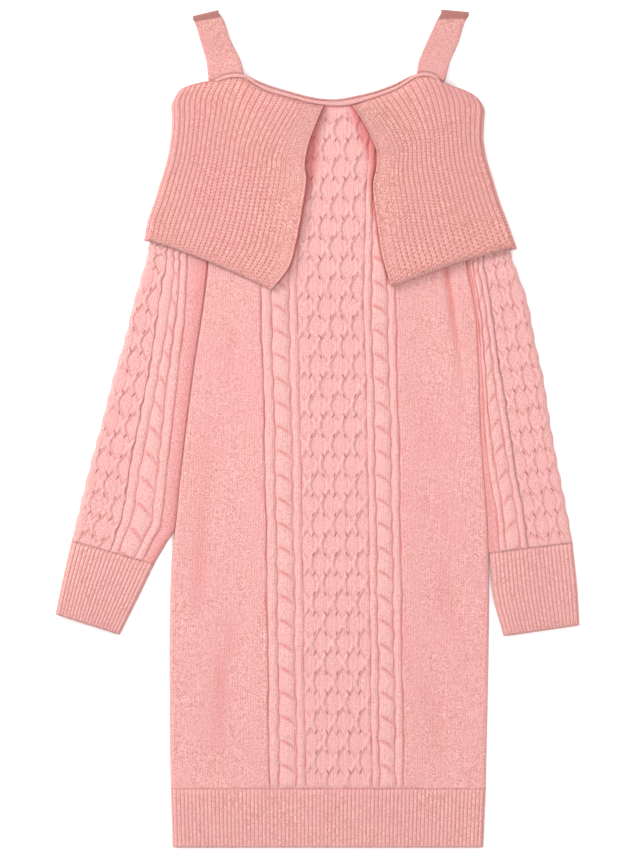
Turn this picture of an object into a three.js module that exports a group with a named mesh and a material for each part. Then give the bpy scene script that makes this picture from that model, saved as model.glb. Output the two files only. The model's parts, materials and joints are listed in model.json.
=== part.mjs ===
// Off-shoulder cable-knit sweater dress, laid flat with its back on the table.
// Millimetres. +X is the viewer's right, +Y runs from the hem to the neck, +Z is up from the table.
// "Left" and "right" in the names are the viewer's, looking down at the front.

import * as THREE from "three";

// Knitted walls
const BODY_WALL = 2.4;
const SLEEVE_WALL = 2.2;
const RIB_WALL = 2.8;
const COLLAR_WALL = 3.0;
const STRAP_WALL = 2.4;
const SEAM_GAP = 0.35;
const PANEL_GAP = 0.5;
const SLEEVE_HEIGHT = 6.0;
const RIB_TUBE_HEIGHT = 6.6;

// The back of the collar lies under the body, which comes down to the table below it
const LIFT = COLLAR_WALL + SEAM_GAP;
const LIFT_FROM_Y = 70;
const LIFT_TO_Y = 170;

// Raised knitting
const CABLE_RISE = 2.0;
const SLEEVE_RISE = 1.5;
const RIDGE_SHARE = 0.8;
const GROOVE_DEPTH = 0.6;
const GROOVE_HALF = 0.5;
const RIB_RISE = 0.45;
const CELL_WIDTH = 23.8;
const CELL_ROW = 21.25;
const CELL_ROW_AT_Y = -28.5;
const STRAND_SWING = 4.2;
const STRAND_HALF = 3.0;
const ROPE_TWIST = 26.0;
const ROPE_LEAN = 0.22;
const ROPE_BEND = 0.45;
const COLLAR_RIB = 5.5;
const HEM_RIB = 4.45;
const CUFF_RIB = 4.35;

// Heights above the table
const FRONT_INSIDE = BODY_WALL + PANEL_GAP;
const FLAP_GAP = 0.65;
const FLAP_INSIDE = FRONT_INSIDE + BODY_WALL + CABLE_RISE + FLAP_GAP;
const BINDING_WIDTH = 4.4;
const BINDING_HEIGHT = 2.1;
const BACK_BINDING_WIDTH = 2.8;

// Where the body and a sleeve meet
const SLEEVE_GAP = 0.6;

const BODY_EDGES = [
  { y: -388.1, left: -157.5, right: 181.7 },
  { y: -334.3, left: -158.6, right: 182.8 },
  { y: -291.3, left: -158.8, right: 183.8 },
  { y: -226.8, left: -158.9, right: 184.9 },
  { y: -159.1, left: -157.5, right: 185.4 },
  { y: -124.7, left: -155.3, right: 184.7 },
  { y: -91.4, left: -151.3, right: 183.3 },
  { y: -54.8, left: -147.8, right: 180.4 },
  { y: -10.8, left: -143.0, right: 177.4 },
  { y: 32.2, left: -137.6, right: 175.7 },
  { y: 73.1, left: -132.2, right: 174.6 },
  { y: 126.8, left: -123.8, right: 170.9 },
  { y: 177.4, left: -117.7, right: 161.2 },
  { y: 246.2, left: -115.0, right: 151.6 },
  { y: 299.9, left: -112.9, right: 143.0 },
  { y: 348.3, left: -111.8, right: 135.4 },
  { y: 377.3, left: -111.8, right: 133.3 },
];

const CABLE_AXIS = [
  { y: -388.1, x: 23.6 },
  { y: -269.8, x: 22.0 },
  { y: -140.8, x: 20.4 },
  { y: 14.0, x: 17.7 },
  { y: 95.7, x: 15.6 },
  { y: 149.4, x: 14.5 },
  { y: 246.2, x: 16.7 },
  { y: 299.9, x: 19.9 },
  { y: 353.7, x: 21.5 },
];

// Cables across the front, from groove to groove, measured from the cable axis
const FRONT_CABLES = [
  { kind: "ridge", from: -74.7, to: -63.6 },
  { kind: "rope", from: -63.6, to: -45.1, turn: -1 },
  { kind: "ridge", from: -45.1, to: -35.7 },
  { kind: "honeycomb", from: -35.7, to: 35.7 },
  { kind: "ridge", from: 35.7, to: 44.0 },
  { kind: "rope", from: 44.0, to: 61.2, turn: -1 },
  { kind: "ridge", from: 61.2, to: 70.1 },
];

// Upper edge of the neck binding, in front and behind
const FRONT_NECK = [
  { x: -113.4, y: 373.6 },
  { x: -103.2, y: 378.2 },
  { x: -94.6, y: 380.8 },
  { x: -87.1, y: 381.6 },
  { x: -76.3, y: 379.9 },
  { x: -64.5, y: 372.5 },
  { x: -52.7, y: 366.6 },
  { x: -39.8, y: 362.8 },
  { x: -25.8, y: 359.1 },
  { x: -5.4, y: 353.9 },
  { x: 18.3, y: 351.3 },
  { x: 36.5, y: 352.6 },
  { x: 52.7, y: 356.9 },
  { x: 72.0, y: 363.3 },
  { x: 84.9, y: 368.5 },
  { x: 94.6, y: 374.1 },
  { x: 101.0, y: 378.4 },
  { x: 107.0, y: 381.3 },
  { x: 113.9, y: 382.9 },
  { x: 121.5, y: 382.3 },
  { x: 129.0, y: 378.6 },
  { x: 134.4, y: 373.0 },
];
const BACK_NECK = [
  { x: -113.4, y: 373.6 },
  { x: -103.2, y: 378.2 },
  { x: -94.6, y: 380.8 },
  { x: -87.1, y: 381.6 },
  { x: -76.3, y: 380.3 },
  { x: -64.5, y: 375.6 },
  { x: -53.8, y: 371.3 },
  { x: -40.9, y: 367.0 },
  { x: -25.8, y: 362.7 },
  { x: -5.4, y: 357.5 },
  { x: 16.1, y: 355.2 },
  { x: 33.3, y: 357.1 },
  { x: 59.1, y: 362.9 },
  { x: 72.0, y: 367.0 },
  { x: 82.8, y: 371.3 },
  { x: 91.4, y: 375.6 },
  { x: 100.0, y: 379.9 },
  { x: 107.0, y: 382.1 },
  { x: 113.9, y: 383.1 },
  { x: 121.5, y: 382.3 },
  { x: 129.0, y: 378.6 },
  { x: 134.4, y: 373.0 },
];
const NECK_CENTRE_Y = 351.0;
const NECK_BEND_FROM_Y = 225;

// A soft fold that runs down the right side of the front, deepest under the collar
const FOLD = [
  { y: 377.3, x: 118.0 },
  { y: 246.2, x: 130.0 },
  { y: 166.2, x: 139.5 },
  { y: 137.6, x: 143.6 },
  { y: 107.5, x: 147.7 },
  { y: 79.8, x: 151.9 },
  { y: 45.5, x: 156.0 },
  { y: 18.3, x: 160.2 },
  { y: -40.0, x: 163.5 },
  { y: -388.1, x: 160.0 },
];
const FOLD_HALF = 5.5;
const FOLD_FADES_Y = 0;
const FOLD_FADES_OVER = 60;
const FOLD_SECTION = [
  { offset: -1, depth: 0 },
  { offset: 0, depth: 1.1 },
  { offset: 1, depth: -0.3 },
];

// Each row crosses a sleeve from its outer fold to its inner one; a, b, c and d are the
// grooves on the front, as shares of that width
const LEFT_SLEEVE = [
  { outerX: -264.4, outerY: -120.4, innerX: -175.2, innerY: -145.7, a: 0.472, b: 0.56, c: 0.765, d: 0.862 },
  { outerX: -253.7, outerY: -76.3, innerX: -154.8, innerY: -106.4, a: 0.45, b: 0.552, c: 0.755, d: 0.855 },
  { outerX: -242.9, outerY: -33.3, innerX: -148.9, innerY: -61.3, a: 0.437, b: 0.548, c: 0.743, d: 0.842 },
  { outerX: -231.1, outerY: 9.7, innerX: -144.0, innerY: -16.1, a: 0.436, b: 0.55, c: 0.72, d: 0.835 },
  { outerX: -220.4, outerY: 52.7, innerX: -138.7, innerY: 27.9, a: 0.434, b: 0.556, c: 0.698, d: 0.825 },
  { outerX: -207.5, outerY: 95.7, innerX: -132.8, innerY: 73.1, a: 0.41, b: 0.548, c: 0.67, d: 0.79 },
  { outerX: -196.7, outerY: 138.7, innerX: -124.7, innerY: 117.2, a: 0.371, b: 0.535, c: 0.632, d: 0.755 },
  { outerX: -183.8, outerY: 181.7, innerX: -118.8, innerY: 162.3, a: 0.33, b: 0.46, c: 0.56, d: 0.68 },
  { outerX: -179.5, outerY: 203.2, innerX: -117.2, innerY: 186.0, a: 0.3, b: 0.42, c: 0.52, d: 0.65 },
  { outerX: -168.2, outerY: 246.2, innerX: -115.6, innerY: 231.1, a: 0.3, b: 0.42, c: 0.52, d: 0.65 },
  { outerX: -154.8, outerY: 289.2, innerX: -113.4, innerY: 278.4, a: 0.3, b: 0.42, c: 0.52, d: 0.65 },
  { outerX: -150.0, outerY: 332.2, innerX: -112.3, innerY: 325.7, a: 0.3, b: 0.42, c: 0.52, d: 0.65 },
  { outerX: -144.0, outerY: 355.8, innerX: -112.3, innerY: 364.4, a: 0.3, b: 0.42, c: 0.52, d: 0.65 },
];
const RIGHT_SLEEVE = [
  { outerX: 275.2, outerY: -122.5, innerX: 185.2, innerY: -133.8, a: 0.53, b: 0.61, c: 0.79, d: 0.87 },
  { outerX: 266.6, outerY: -76.3, innerX: 183.3, innerY: -90.3, a: 0.545, b: 0.63, c: 0.8, d: 0.885 },
  { outerX: 258.0, outerY: -33.3, innerX: 180.1, innerY: -47.3, a: 0.58, b: 0.66, c: 0.83, d: 0.92 },
  { outerX: 250.5, outerY: 9.7, innerX: 177.4, innerY: -3.2, a: 0.6, b: 0.69, c: 0.86, d: 0.94 },
  { outerX: 244.0, outerY: 52.7, innerX: 176.0, innerY: 40.9, a: 0.64, b: 0.74, c: 0.89, d: 0.95 },
  { outerX: 234.3, outerY: 95.7, innerX: 174.7, innerY: 83.8, a: 0.68, b: 0.78, c: 0.9, d: 0.955 },
  { outerX: 225.8, outerY: 138.7, innerX: 170.9, innerY: 126.8, a: 0.7, b: 0.8, c: 0.9, d: 0.955 },
  { outerX: 210.2, outerY: 181.7, innerX: 163.9, innerY: 168.8, a: 0.64, b: 0.75, c: 0.87, d: 0.94 },
  { outerX: 206.4, outerY: 198.9, innerX: 160.2, innerY: 188.1, a: 0.6, b: 0.72, c: 0.85, d: 0.93 },
  { outerX: 189.7, outerY: 246.2, innerX: 152.1, innerY: 233.3, a: 0.6, b: 0.72, c: 0.84, d: 0.92 },
  { outerX: 176.8, outerY: 289.2, innerX: 144.6, innerY: 278.4, a: 0.6, b: 0.72, c: 0.84, d: 0.92 },
  { outerX: 173.6, outerY: 332.2, innerX: 137.6, innerY: 324.6, a: 0.6, b: 0.72, c: 0.84, d: 0.92 },
  { outerX: 169.3, outerY: 355.8, innerX: 134.4, innerY: 363.3, a: 0.6, b: 0.72, c: 0.84, d: 0.92 },
];
const SLEEVE_CABLES = [
  { kind: "ridge", from: "a", to: "b" },
  { kind: "rope", from: "b", to: "c", turn: -1 },
  { kind: "ridge", from: "c", to: "d" },
];

const LEFT_CUFF = [
  { outerX: -281.6, outerY: -199.4, innerX: -212.3, innerY: -221.4 },
  { outerX: -273.6, outerY: -160.2, innerX: -194.6, innerY: -186.0 },
  { outerX: -264.5, outerY: -120.9, innerX: -175.4, innerY: -146.2 },
];
const RIGHT_CUFF = [
  { outerX: 282.7, outerY: -211.2, innerX: 200.8, innerY: -223.1 },
  { outerX: 280.0, outerY: -167.7, innerX: 189.7, innerY: -180.6 },
  { outerX: 275.3, outerY: -123.0, innerX: 185.9, innerY: -134.3 },
];

// Front of the collar: the side fold and the free edge beside the centre opening, from the
// lower edge to the neck
const COLLAR_LEFT = [
  { sideX: -186.0, sideY: 202.1, freeX: -48.4, freeY: 149.4 },
  { sideX: -181.7, sideY: 224.7, freeX: -30.1, freeY: 173.1 },
  { sideX: -174.2, sideY: 246.2, freeX: -22.6, freeY: 198.9 },
  { sideX: -167.7, sideY: 267.7, freeX: -16.1, freeY: 233.3 },
  { sideX: -161.2, sideY: 289.2, freeX: -11.3, freeY: 265.5 },
  { sideX: -157.5, sideY: 310.7, freeX: -12.9, freeY: 284.9 },
  { sideX: -155.9, sideY: 332.2, freeX: -8.6, freeY: 306.4 },
  { sideX: -156.4, sideY: 347.2, freeX: -2.1, freeY: 325.7 },
  { sideX: -149.4, sideY: 361.2, freeX: 3.2, freeY: 345.1 },
];
const COLLAR_RIGHT = [
  { sideX: 215.0, sideY: 193.5, freeX: 79.5, freeY: 151.6 },
  { sideX: 203.7, sideY: 224.7, freeX: 69.9, freeY: 186.0 },
  { sideX: 195.7, sideY: 246.2, freeX: 65.6, freeY: 213.9 },
  { sideX: 189.2, sideY: 267.7, freeX: 61.8, freeY: 240.8 },
  { sideX: 182.8, sideY: 289.2, freeX: 60.2, freeY: 263.4 },
  { sideX: 179.0, sideY: 310.7, freeX: 65.0, freeY: 291.3 },
  { sideX: 179.5, sideY: 332.2, freeX: 57.0, freeY: 315.0 },
  { sideX: 180.1, sideY: 347.2, freeX: 46.2, freeY: 334.3 },
  { sideX: 174.2, sideY: 361.2, freeX: 37.6, freeY: 347.8 },
];
// Upper edge of the collar, outside the straps
const COLLAR_SHOULDERS = [
  { x: -156.4, y: 350.5 },
  { x: -152.6, y: 358.5 },
  { x: -147.3, y: 363.9 },
  { x: -139.8, y: 367.6 },
  { x: -128.5, y: 370.2 },
  { x: -113.4, y: 369.0 },
  { x: 134.4, y: 368.4 },
  { x: 148.4, y: 368.3 },
  { x: 161.8, y: 363.4 },
  { x: 170.0, y: 359.0 },
  { x: 175.8, y: 353.8 },
  { x: 180.1, y: 345.6 },
];
const COLLAR_BACK_DIP = 14;
const COLLAR_SIDE_ROUND = 7;
const COLLAR_BOW = 3;

const LEFT_STRAP = [
  { leftX: -115.6, leftY: 378.4, rightX: -76.3, rightY: 383.2 },
  { leftX: -119.3, leftY: 396.7, rightX: -82.8, rightY: 397.8 },
  { leftX: -125.8, leftY: 418.2, rightX: -93.0, rightY: 418.2 },
  { leftX: -130.1, leftY: 433.2, rightX: -99.4, rightY: 437.5 },
  { leftX: -133.8, leftY: 443.5, rightX: -105.9, rightY: 450.0 },
];
const RIGHT_STRAP = [
  { leftX: 106.4, leftY: 384.8, rightX: 134.2, rightY: 376.8 },
  { leftX: 109.6, leftY: 396.7, rightX: 143.5, rightY: 396.7 },
  { leftX: 118.8, leftY: 418.2, rightX: 152.1, rightY: 416.0 },
  { leftX: 125.8, leftY: 433.2, rightX: 158.0, rightY: 435.4 },
  { leftX: 133.8, leftY: 450.4, rightX: 163.4, rightY: 447.7 },
];
const STRAP_BASE_Y = 380;
const STRAP_SETTLES = 30;
const STRAP_FOLD_REACH = 3.4;
const STRAP_FOLD_INSIDE_REACH = 1;
const STRAP_CROWN = 0.25;

const HEM = { topY: -388.1, bottomY: -450.2, bottomLeft: -155.6, bottomRight: 179.0 };

const lerp = (a, b, t) => a + (b - a) * t;
const clamp = (v, low = 0, high = 1) => Math.min(high, Math.max(low, v));
const smooth = (v) => clamp(v) ** 2 * (3 - 2 * clamp(v));

// Steps from a to b, no longer than step, with both ends
function steps(a, b, step) {
  const count = Math.max(1, Math.ceil(Math.abs(b - a) / step - 1e-6));
  return Array.from({ length: count + 1 }, (_, i) => lerp(a, b, i / count));
}

// A smooth curve through the rows of a table, read at one value of its key column
function curve(table, key, column) {
  const rows = [...table].sort((p, q) => p[key] - q[key]);
  const slope = (i) => {
    const low = rows[Math.max(0, i - 1)];
    const high = rows[Math.min(rows.length - 1, i + 1)];
    return (high[column] - low[column]) / (high[key] - low[key]);
  };
  return (value) => {
    const at = clamp(value, rows[0][key], rows[rows.length - 1][key]);
    let i = 0;
    while (i < rows.length - 2 && at > rows[i + 1][key]) i += 1;
    const span = rows[i + 1][key] - rows[i][key];
    const t = (at - rows[i][key]) / span;
    const rise = t * t * (3 - 2 * t);
    return (
      lerp(rows[i][column], rows[i + 1][column], rise) +
      span * (slope(i) * (t ** 3 - 2 * t ** 2 + t) + slope(i + 1) * (t ** 3 - t ** 2))
    );
  };
}

// The same for a table whose rows are evenly spaced along a piece, read from 0 to 1
function along(table) {
  const numbered = table.map((row, i) => ({ ...row, at: i / (table.length - 1) }));
  const columns = Object.keys(table[0]);
  const curves = columns.map((column) => curve(numbered, "at", column));
  return (t) => Object.fromEntries(columns.map((column, i) => [column, curves[i](t)]));
}

const bodyLeft = curve(BODY_EDGES, "y", "left");
const bodyRight = curve(BODY_EDGES, "y", "right");
const cableAxis = curve(CABLE_AXIS, "y", "x");
const frontNeck = curve(FRONT_NECK, "x", "y");
const backNeck = curve(BACK_NECK, "x", "y");
const foldX = curve(FOLD, "y", "x");
const lift = (y) => LIFT * smooth((y - LIFT_FROM_Y) / (LIFT_TO_Y - LIFT_FROM_Y));

// Height, from 0 to 1, of wavy strands that part and meet, which leaves a honeycomb of cells.
// u runs across, with a strand at each half cell, and v along; every second half row the
// strands cross their middles.
function honeycomb(u, v) {
  const pitch = CELL_WIDTH / 2;
  const nearest = Math.round(u / pitch);
  const wave = STRAND_SWING * Math.cos((Math.PI * v) / CELL_ROW);
  const heights = [nearest - 1, nearest, nearest + 1].map((i) => {
    const centre = i * pitch + (i % 2 === 0 ? wave : -wave);
    return Math.exp(-(((u - centre) / STRAND_HALF) ** 2));
  });
  return Math.max(...heights);
}

// Height, from 0 to 1, of a two-strand rope; u runs from -1 to 1 across it and v along
function rope(u, v, turn) {
  const phase = v / ROPE_TWIST - ROPE_LEAN * (turn * u - ROPE_BEND * u * u);
  const strand = Math.abs(Math.sin(Math.PI * phase));
  return Math.sqrt(Math.max(0, 1 - u * u)) * (0.45 + 0.55 * strand);
}

function ridge(u) {
  return RIDGE_SHARE * Math.sqrt(Math.max(0, 1 - u * u));
}

// Triangles between two lines that run the same way, the second on the right of the first.
// Where the lines keep step, each pair is split along its flatter diagonal. The point that
// closes a ring counts as its far end.
function stitch(faces, a, b, key, closed = false) {
  const place = (line, i) => {
    if (i >= line.length) return Infinity;
    return closed && i === line.length - 1 ? 1 : line[i][key];
  };
  let i = 0;
  let j = 0;
  while (i < a.length - 1 || j < b.length - 1) {
    const lead = place(a, i + 1) - place(b, j + 1);
    const inStep = Math.abs(lead) < 1e-9;
    const flatter = inStep && Math.abs(a[i + 1].z - b[j].z) <= Math.abs(a[i].z - b[j + 1].z);
    if (inStep ? flatter : lead < 0) {
      faces.push([a[i], b[j], a[i + 1]]);
      i += 1;
    } else {
      faces.push([a[i], b[j], b[j + 1]]);
      j += 1;
    }
  }
}

// The ends of lines, in order across the piece
function ends(lines, last, closed) {
  const points = lines.map((line) => line.at(last ? -1 : 0));
  return closed ? [...points, points[0]] : points;
}

// A closed wall between lines on its outside and lines on its inside. Each line runs along
// the piece and each point carries s, its place across, and t, its place along.
function wall(name, outer, inner, colour, closed = false) {
  const faces = [];
  const skins = [outer, [...inner].reverse()];
  for (const lines of skins) {
    for (let i = 0; i < lines.length - 1; i += 1) stitch(faces, lines[i], lines[i + 1], "t");
    if (closed) stitch(faces, lines[lines.length - 1], lines[0], "t");
  }
  if (!closed) {
    stitch(faces, outer[outer.length - 1], inner[inner.length - 1], "t");
    stitch(faces, inner[0], outer[0], "t");
  }
  for (const last of [false, true]) {
    const rims = [ends(outer, last, closed), ends(inner, last, closed)];
    if (last) rims.reverse();
    stitch(faces, rims[0], rims[1], "s", closed);
  }
  return solid(name, faces, colour);
}

function solid(name, faces, colour) {
  const index = new Map();
  const positions = [];
  const corners = [];
  let volume = 0;
  for (const face of faces) {
    const [a, b, c] = face;
    volume += a.x * (b.y * c.z - b.z * c.y);
    volume -= a.y * (b.x * c.z - b.z * c.x);
    volume += a.z * (b.x * c.y - b.y * c.x);
    for (const point of face) {
      if (!index.has(point)) {
        index.set(point, positions.length / 3);
        positions.push(point.x, point.y, point.z);
      }
      corners.push(index.get(point));
    }
  }
  if (volume < 0) {
    for (let i = 0; i < corners.length; i += 3) {
      [corners[i], corners[i + 1]] = [corners[i + 1], corners[i]];
    }
  }
  const geometry = new THREE.BufferGeometry();
  geometry.setAttribute("position", new THREE.Float32BufferAttribute(positions, 3));
  geometry.setIndex(corners);
  geometry.computeVertexNormals();
  const material = new THREE.MeshStandardMaterial({ color: colour, roughness: 0.95, metalness: 0 });
  const mesh = new THREE.Mesh(geometry, material);
  mesh.name = name;
  return mesh;
}

// Rows along the body: close together where the knitting is raised, further apart where plain.
// Above COVERED_Y the collar hides the ropes and ridges, which are left plain there.
const SKIRT_STEP = 46;
const SLOPE_STEP = 25;
const PLAIN_STEP = 30;
const NECK_STEP = 21;
const STEPS_PER_REPEAT = 4;
const COVERED_Y = 190;
const BODY_FOOT_Y = HEM.topY + SEAM_GAP;
const plainRows = [
  ...steps(BODY_FOOT_Y, LIFT_FROM_Y, SKIRT_STEP),
  ...steps(LIFT_FROM_Y, LIFT_TO_Y, SLOPE_STEP).slice(1),
  ...steps(LIFT_TO_Y, NECK_BEND_FROM_Y, PLAIN_STEP).slice(1),
  ...steps(NECK_BEND_FROM_Y, NECK_CENTRE_Y, NECK_STEP).slice(1),
];
const cellRows = steps(BODY_FOOT_Y, NECK_CENTRE_Y, CELL_ROW / STEPS_PER_REPEAT);
const ropeRows = [
  ...steps(BODY_FOOT_Y, COVERED_Y, ROPE_TWIST / STEPS_PER_REPEAT),
  ...steps(COVERED_Y, NECK_CENTRE_Y, PLAIN_STEP).slice(1),
];

// Rows near the neck bend to follow the neckline
function bent(row, x, neck) {
  const share = smooth((row - NECK_BEND_FROM_Y) / (NECK_CENTRE_Y - NECK_BEND_FROM_Y));
  return row + (neck(x) - NECK_CENTRE_Y) * share;
}

// Rows and columns that each kind of cable takes on the front, and its height at u from -1 to 1
const FRONT_KINDS = {
  ridge: { rows: plainRows, columns: 4, height: (u) => ridge(u) },
  rope: { rows: ropeRows, columns: 4, height: (u, row, cable) => rope(u, row, cable.turn) },
  honeycomb: {
    rows: cellRows,
    columns: 13,
    height: (u, row) => honeycomb(u * 1.5 * CELL_WIDTH, row - CELL_ROW_AT_Y + CELL_ROW / 2),
  },
};

// Height of the outside of the front beside its side seam
const FRONT_EDGE = [
  { inset: 0, height: 1.3 },
  { inset: 2.2, height: 2.2 },
  { inset: 6, height: BODY_WALL },
];
const PLAIN_INSETS = [16, 26, 36];
const BESIDE_CABLE = 2.5;
const FRONT_UNDER_BINDING = 1.5;

function frontPanel() {
  const neck = (x) => frontNeck(x) - FRONT_UNDER_BINDING;
  const lines = [];
  const add = (rows, xAt, heightAt) => {
    const line = rows.map((row) => {
      const y = bent(row, xAt(row), neck);
      const x = xAt(y);
      const s = (x - bodyLeft(y)) / (bodyRight(y) - bodyLeft(y));
      return { x, y, z: lift(row) + FRONT_INSIDE + heightAt(row), s, t: row };
    });
    lines.push(line);
  };
  const plain = (xAt, height = BODY_WALL) => add(plainRows, xAt, () => height);
  const covered = (row) => 1 - smooth((row - COVERED_Y + 25) / 20);
  const ending = (row) => smooth((row - BODY_FOOT_Y) / 4) * smooth((NECK_CENTRE_Y - 4 - row) / 6);

  for (const { inset, height } of FRONT_EDGE) plain((row) => bodyLeft(row) + inset, height);
  for (const inset of PLAIN_INSETS) plain((row) => bodyLeft(row) + inset);
  plain((row) => cableAxis(row) + FRONT_CABLES[0].from - BESIDE_CABLE);
  for (const cable of FRONT_CABLES) {
    const { rows, columns, height } = FRONT_KINDS[cable.kind];
    const centre = (cable.from + cable.to) / 2;
    const half = (cable.to - cable.from) / 2 - GROOVE_HALF;
    for (let i = 0; i < columns; i += 1) {
      const u = lerp(-1, 1, i / (columns - 1));
      const groove = i === 0 || i === columns - 1;
      const raised = (row) => {
        const shown = cable.kind === "honeycomb" ? 1 : covered(row);
        return height(u, row, cable) * CABLE_RISE * shown * ending(row);
      };
      add(
        rows,
        (row) => cableAxis(row) + centre + u * half,
        (row) => BODY_WALL + (groove ? -GROOVE_DEPTH : raised(row)),
      );
    }
  }
  const cablesEnd = FRONT_CABLES.at(-1).to;
  plain((row) => cableAxis(row) + cablesEnd + BESIDE_CABLE);
  plain((row) => (cableAxis(row) + cablesEnd + foldX(row)) / 2);
  const fade = (row) => smooth((row - FOLD_FADES_Y) / FOLD_FADES_OVER);
  for (const { offset, depth } of FOLD_SECTION) {
    add(
      plainRows,
      (row) => foldX(row) + offset * FOLD_HALF,
      (row) => BODY_WALL - depth * fade(row),
    );
  }
  for (const { inset, height } of [...FRONT_EDGE].reverse()) plain((row) => bodyRight(row) - inset, height);

  return wall("front_panel", lines, panelSkin(neck, 0, FRONT_INSIDE), "#f6b4b1");
}

const SKIN_SHARES = [0, 0.07, 0.14, 0.21, 0.31, 0.43, 0.53, 0.65, 0.8, 0.88, 0.95, 1];

function skinPoint(row, share, neck, inset) {
  const xAt = (y) => lerp(bodyLeft(y) + inset, bodyRight(y) - inset, share);
  const y = bent(row, xAt(row), neck);
  return { x: xAt(y), y, s: share, t: row };
}

// One plain skin across the whole body at one height, inset at its sides
function panelSkin(neck, inset, height) {
  return SKIN_SHARES.map((share) =>
    plainRows.map((row) => ({ ...skinPoint(row, share, neck, inset), z: lift(row) + height })),
  );
}

const BACK_EDGE_INSET = 0.6;
const backPanelNeck = (x) => backNeck(x) - BACK_BINDING_WIDTH - SEAM_GAP;

function backPanel() {
  const upper = panelSkin(backPanelNeck, 0, BODY_WALL);
  return wall("back_panel", upper, panelSkin(backPanelNeck, BACK_EDGE_INSET, 0), "#f0aba6");
}

// A flattened tube lies with its two folds at its sides. Its outside may carry raised knitting
// on the front, and its underside is plain where it rests.
const FOLD_REACH = 5;
const BESIDE_FOLD = 1.3;
const INSIDE_SHARES = [0, 0.18, 0.5, 0.82, 1];

const widthOf = (row) => Math.hypot(row.innerX - row.outerX, row.innerY - row.outerY);

function tubePoint(row, distance, height, base) {
  const share = distance / widthOf(row);
  const y = lerp(row.outerY, row.innerY, share);
  return { x: lerp(row.outerX, row.innerX, share), y, z: base(y) + height };
}

// Height of the outside of a flattened tube at a distance from its nearer fold
function roundedHeight(distance, total, front) {
  const toFold = 1 - clamp(distance / FOLD_REACH);
  const half = (total / 2) * Math.sqrt(1 - toFold ** 2);
  return front ? total / 2 + half : total / 2 - half;
}

function tube(name, rowAt, total, thickness, lines, plainTimes, colour, base) {
  const outer = lines.map(({ times, place }, i) =>
    times.map((t) => {
      const row = rowAt(t);
      const width = widthOf(row);
      const { distance, front, rise } = place(row, t, width);
      const near = Math.min(distance, width - distance);
      const height = roundedHeight(near, total, front) + rise;
      return { ...tubePoint(row, distance, height, base), s: i / lines.length, t };
    }),
  );
  const inside = [
    ...INSIDE_SHARES.map((share) => ({ share, front: true })),
    ...INSIDE_SHARES.slice(1, -1).reverse().map((share) => ({ share, front: false })),
  ];
  const frontCount = lines.filter((line) => line.front).length;
  const inner = inside.map(({ share, front }) =>
    plainTimes.map((t) => {
      const row = rowAt(t);
      const distance = lerp(thickness + 1, widthOf(row) - thickness - 1, share);
      const edge = share === 0 || share === 1;
      const height = edge ? total / 2 : front ? total - thickness : thickness;
      const turn = frontCount / lines.length;
      const s = front ? share * turn : turn + (1 - share) * (1 - turn);
      return { ...tubePoint(row, distance, height, base), s, t };
    }),
  );
  return wall(name, outer, inner, colour, true);
}

// Lines round a ribbed tube, in order: the front from fold to fold, then the underside
function ribbedLines(width, pitch, rise, times) {
  const ribs = Math.round((width - 2 * BESIDE_FOLD) / pitch);
  const line = (at, lineRise) => ({
    front: true,
    times,
    place: (row, t, w) => ({ distance: at(w), front: true, rise: lineRise }),
  });
  const lines = [line(() => 0, 0)];
  for (let i = 0; i <= 2 * ribs; i += 1) {
    const at = (w) => lerp(BESIDE_FOLD, w - BESIDE_FOLD, i / (2 * ribs));
    lines.push(line(at, i % 2 === 0 ? -rise : rise));
  }
  return [...lines, line((w) => w, 0), ...underLines(times)];
}

function underLines(times) {
  const places = [
    (w) => w - BESIDE_FOLD,
    (w) => w - FOLD_REACH,
    (w) => w / 2,
    () => FOLD_REACH,
    () => BESIDE_FOLD,
  ];
  return places.map((at) => ({
    front: false,
    times,
    place: (row, t, w) => ({ distance: at(w), front: false, rise: 0 }),
  }));
}

// The honeycomb on a sleeve is cut off by its outer fold, over which it fades
const SLEEVE_CELL_COLUMNS = 7;
const SLEEVE_CELL_FADE = 8;
const SLEEVE_PLAIN_SHARE = 0.35;

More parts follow.
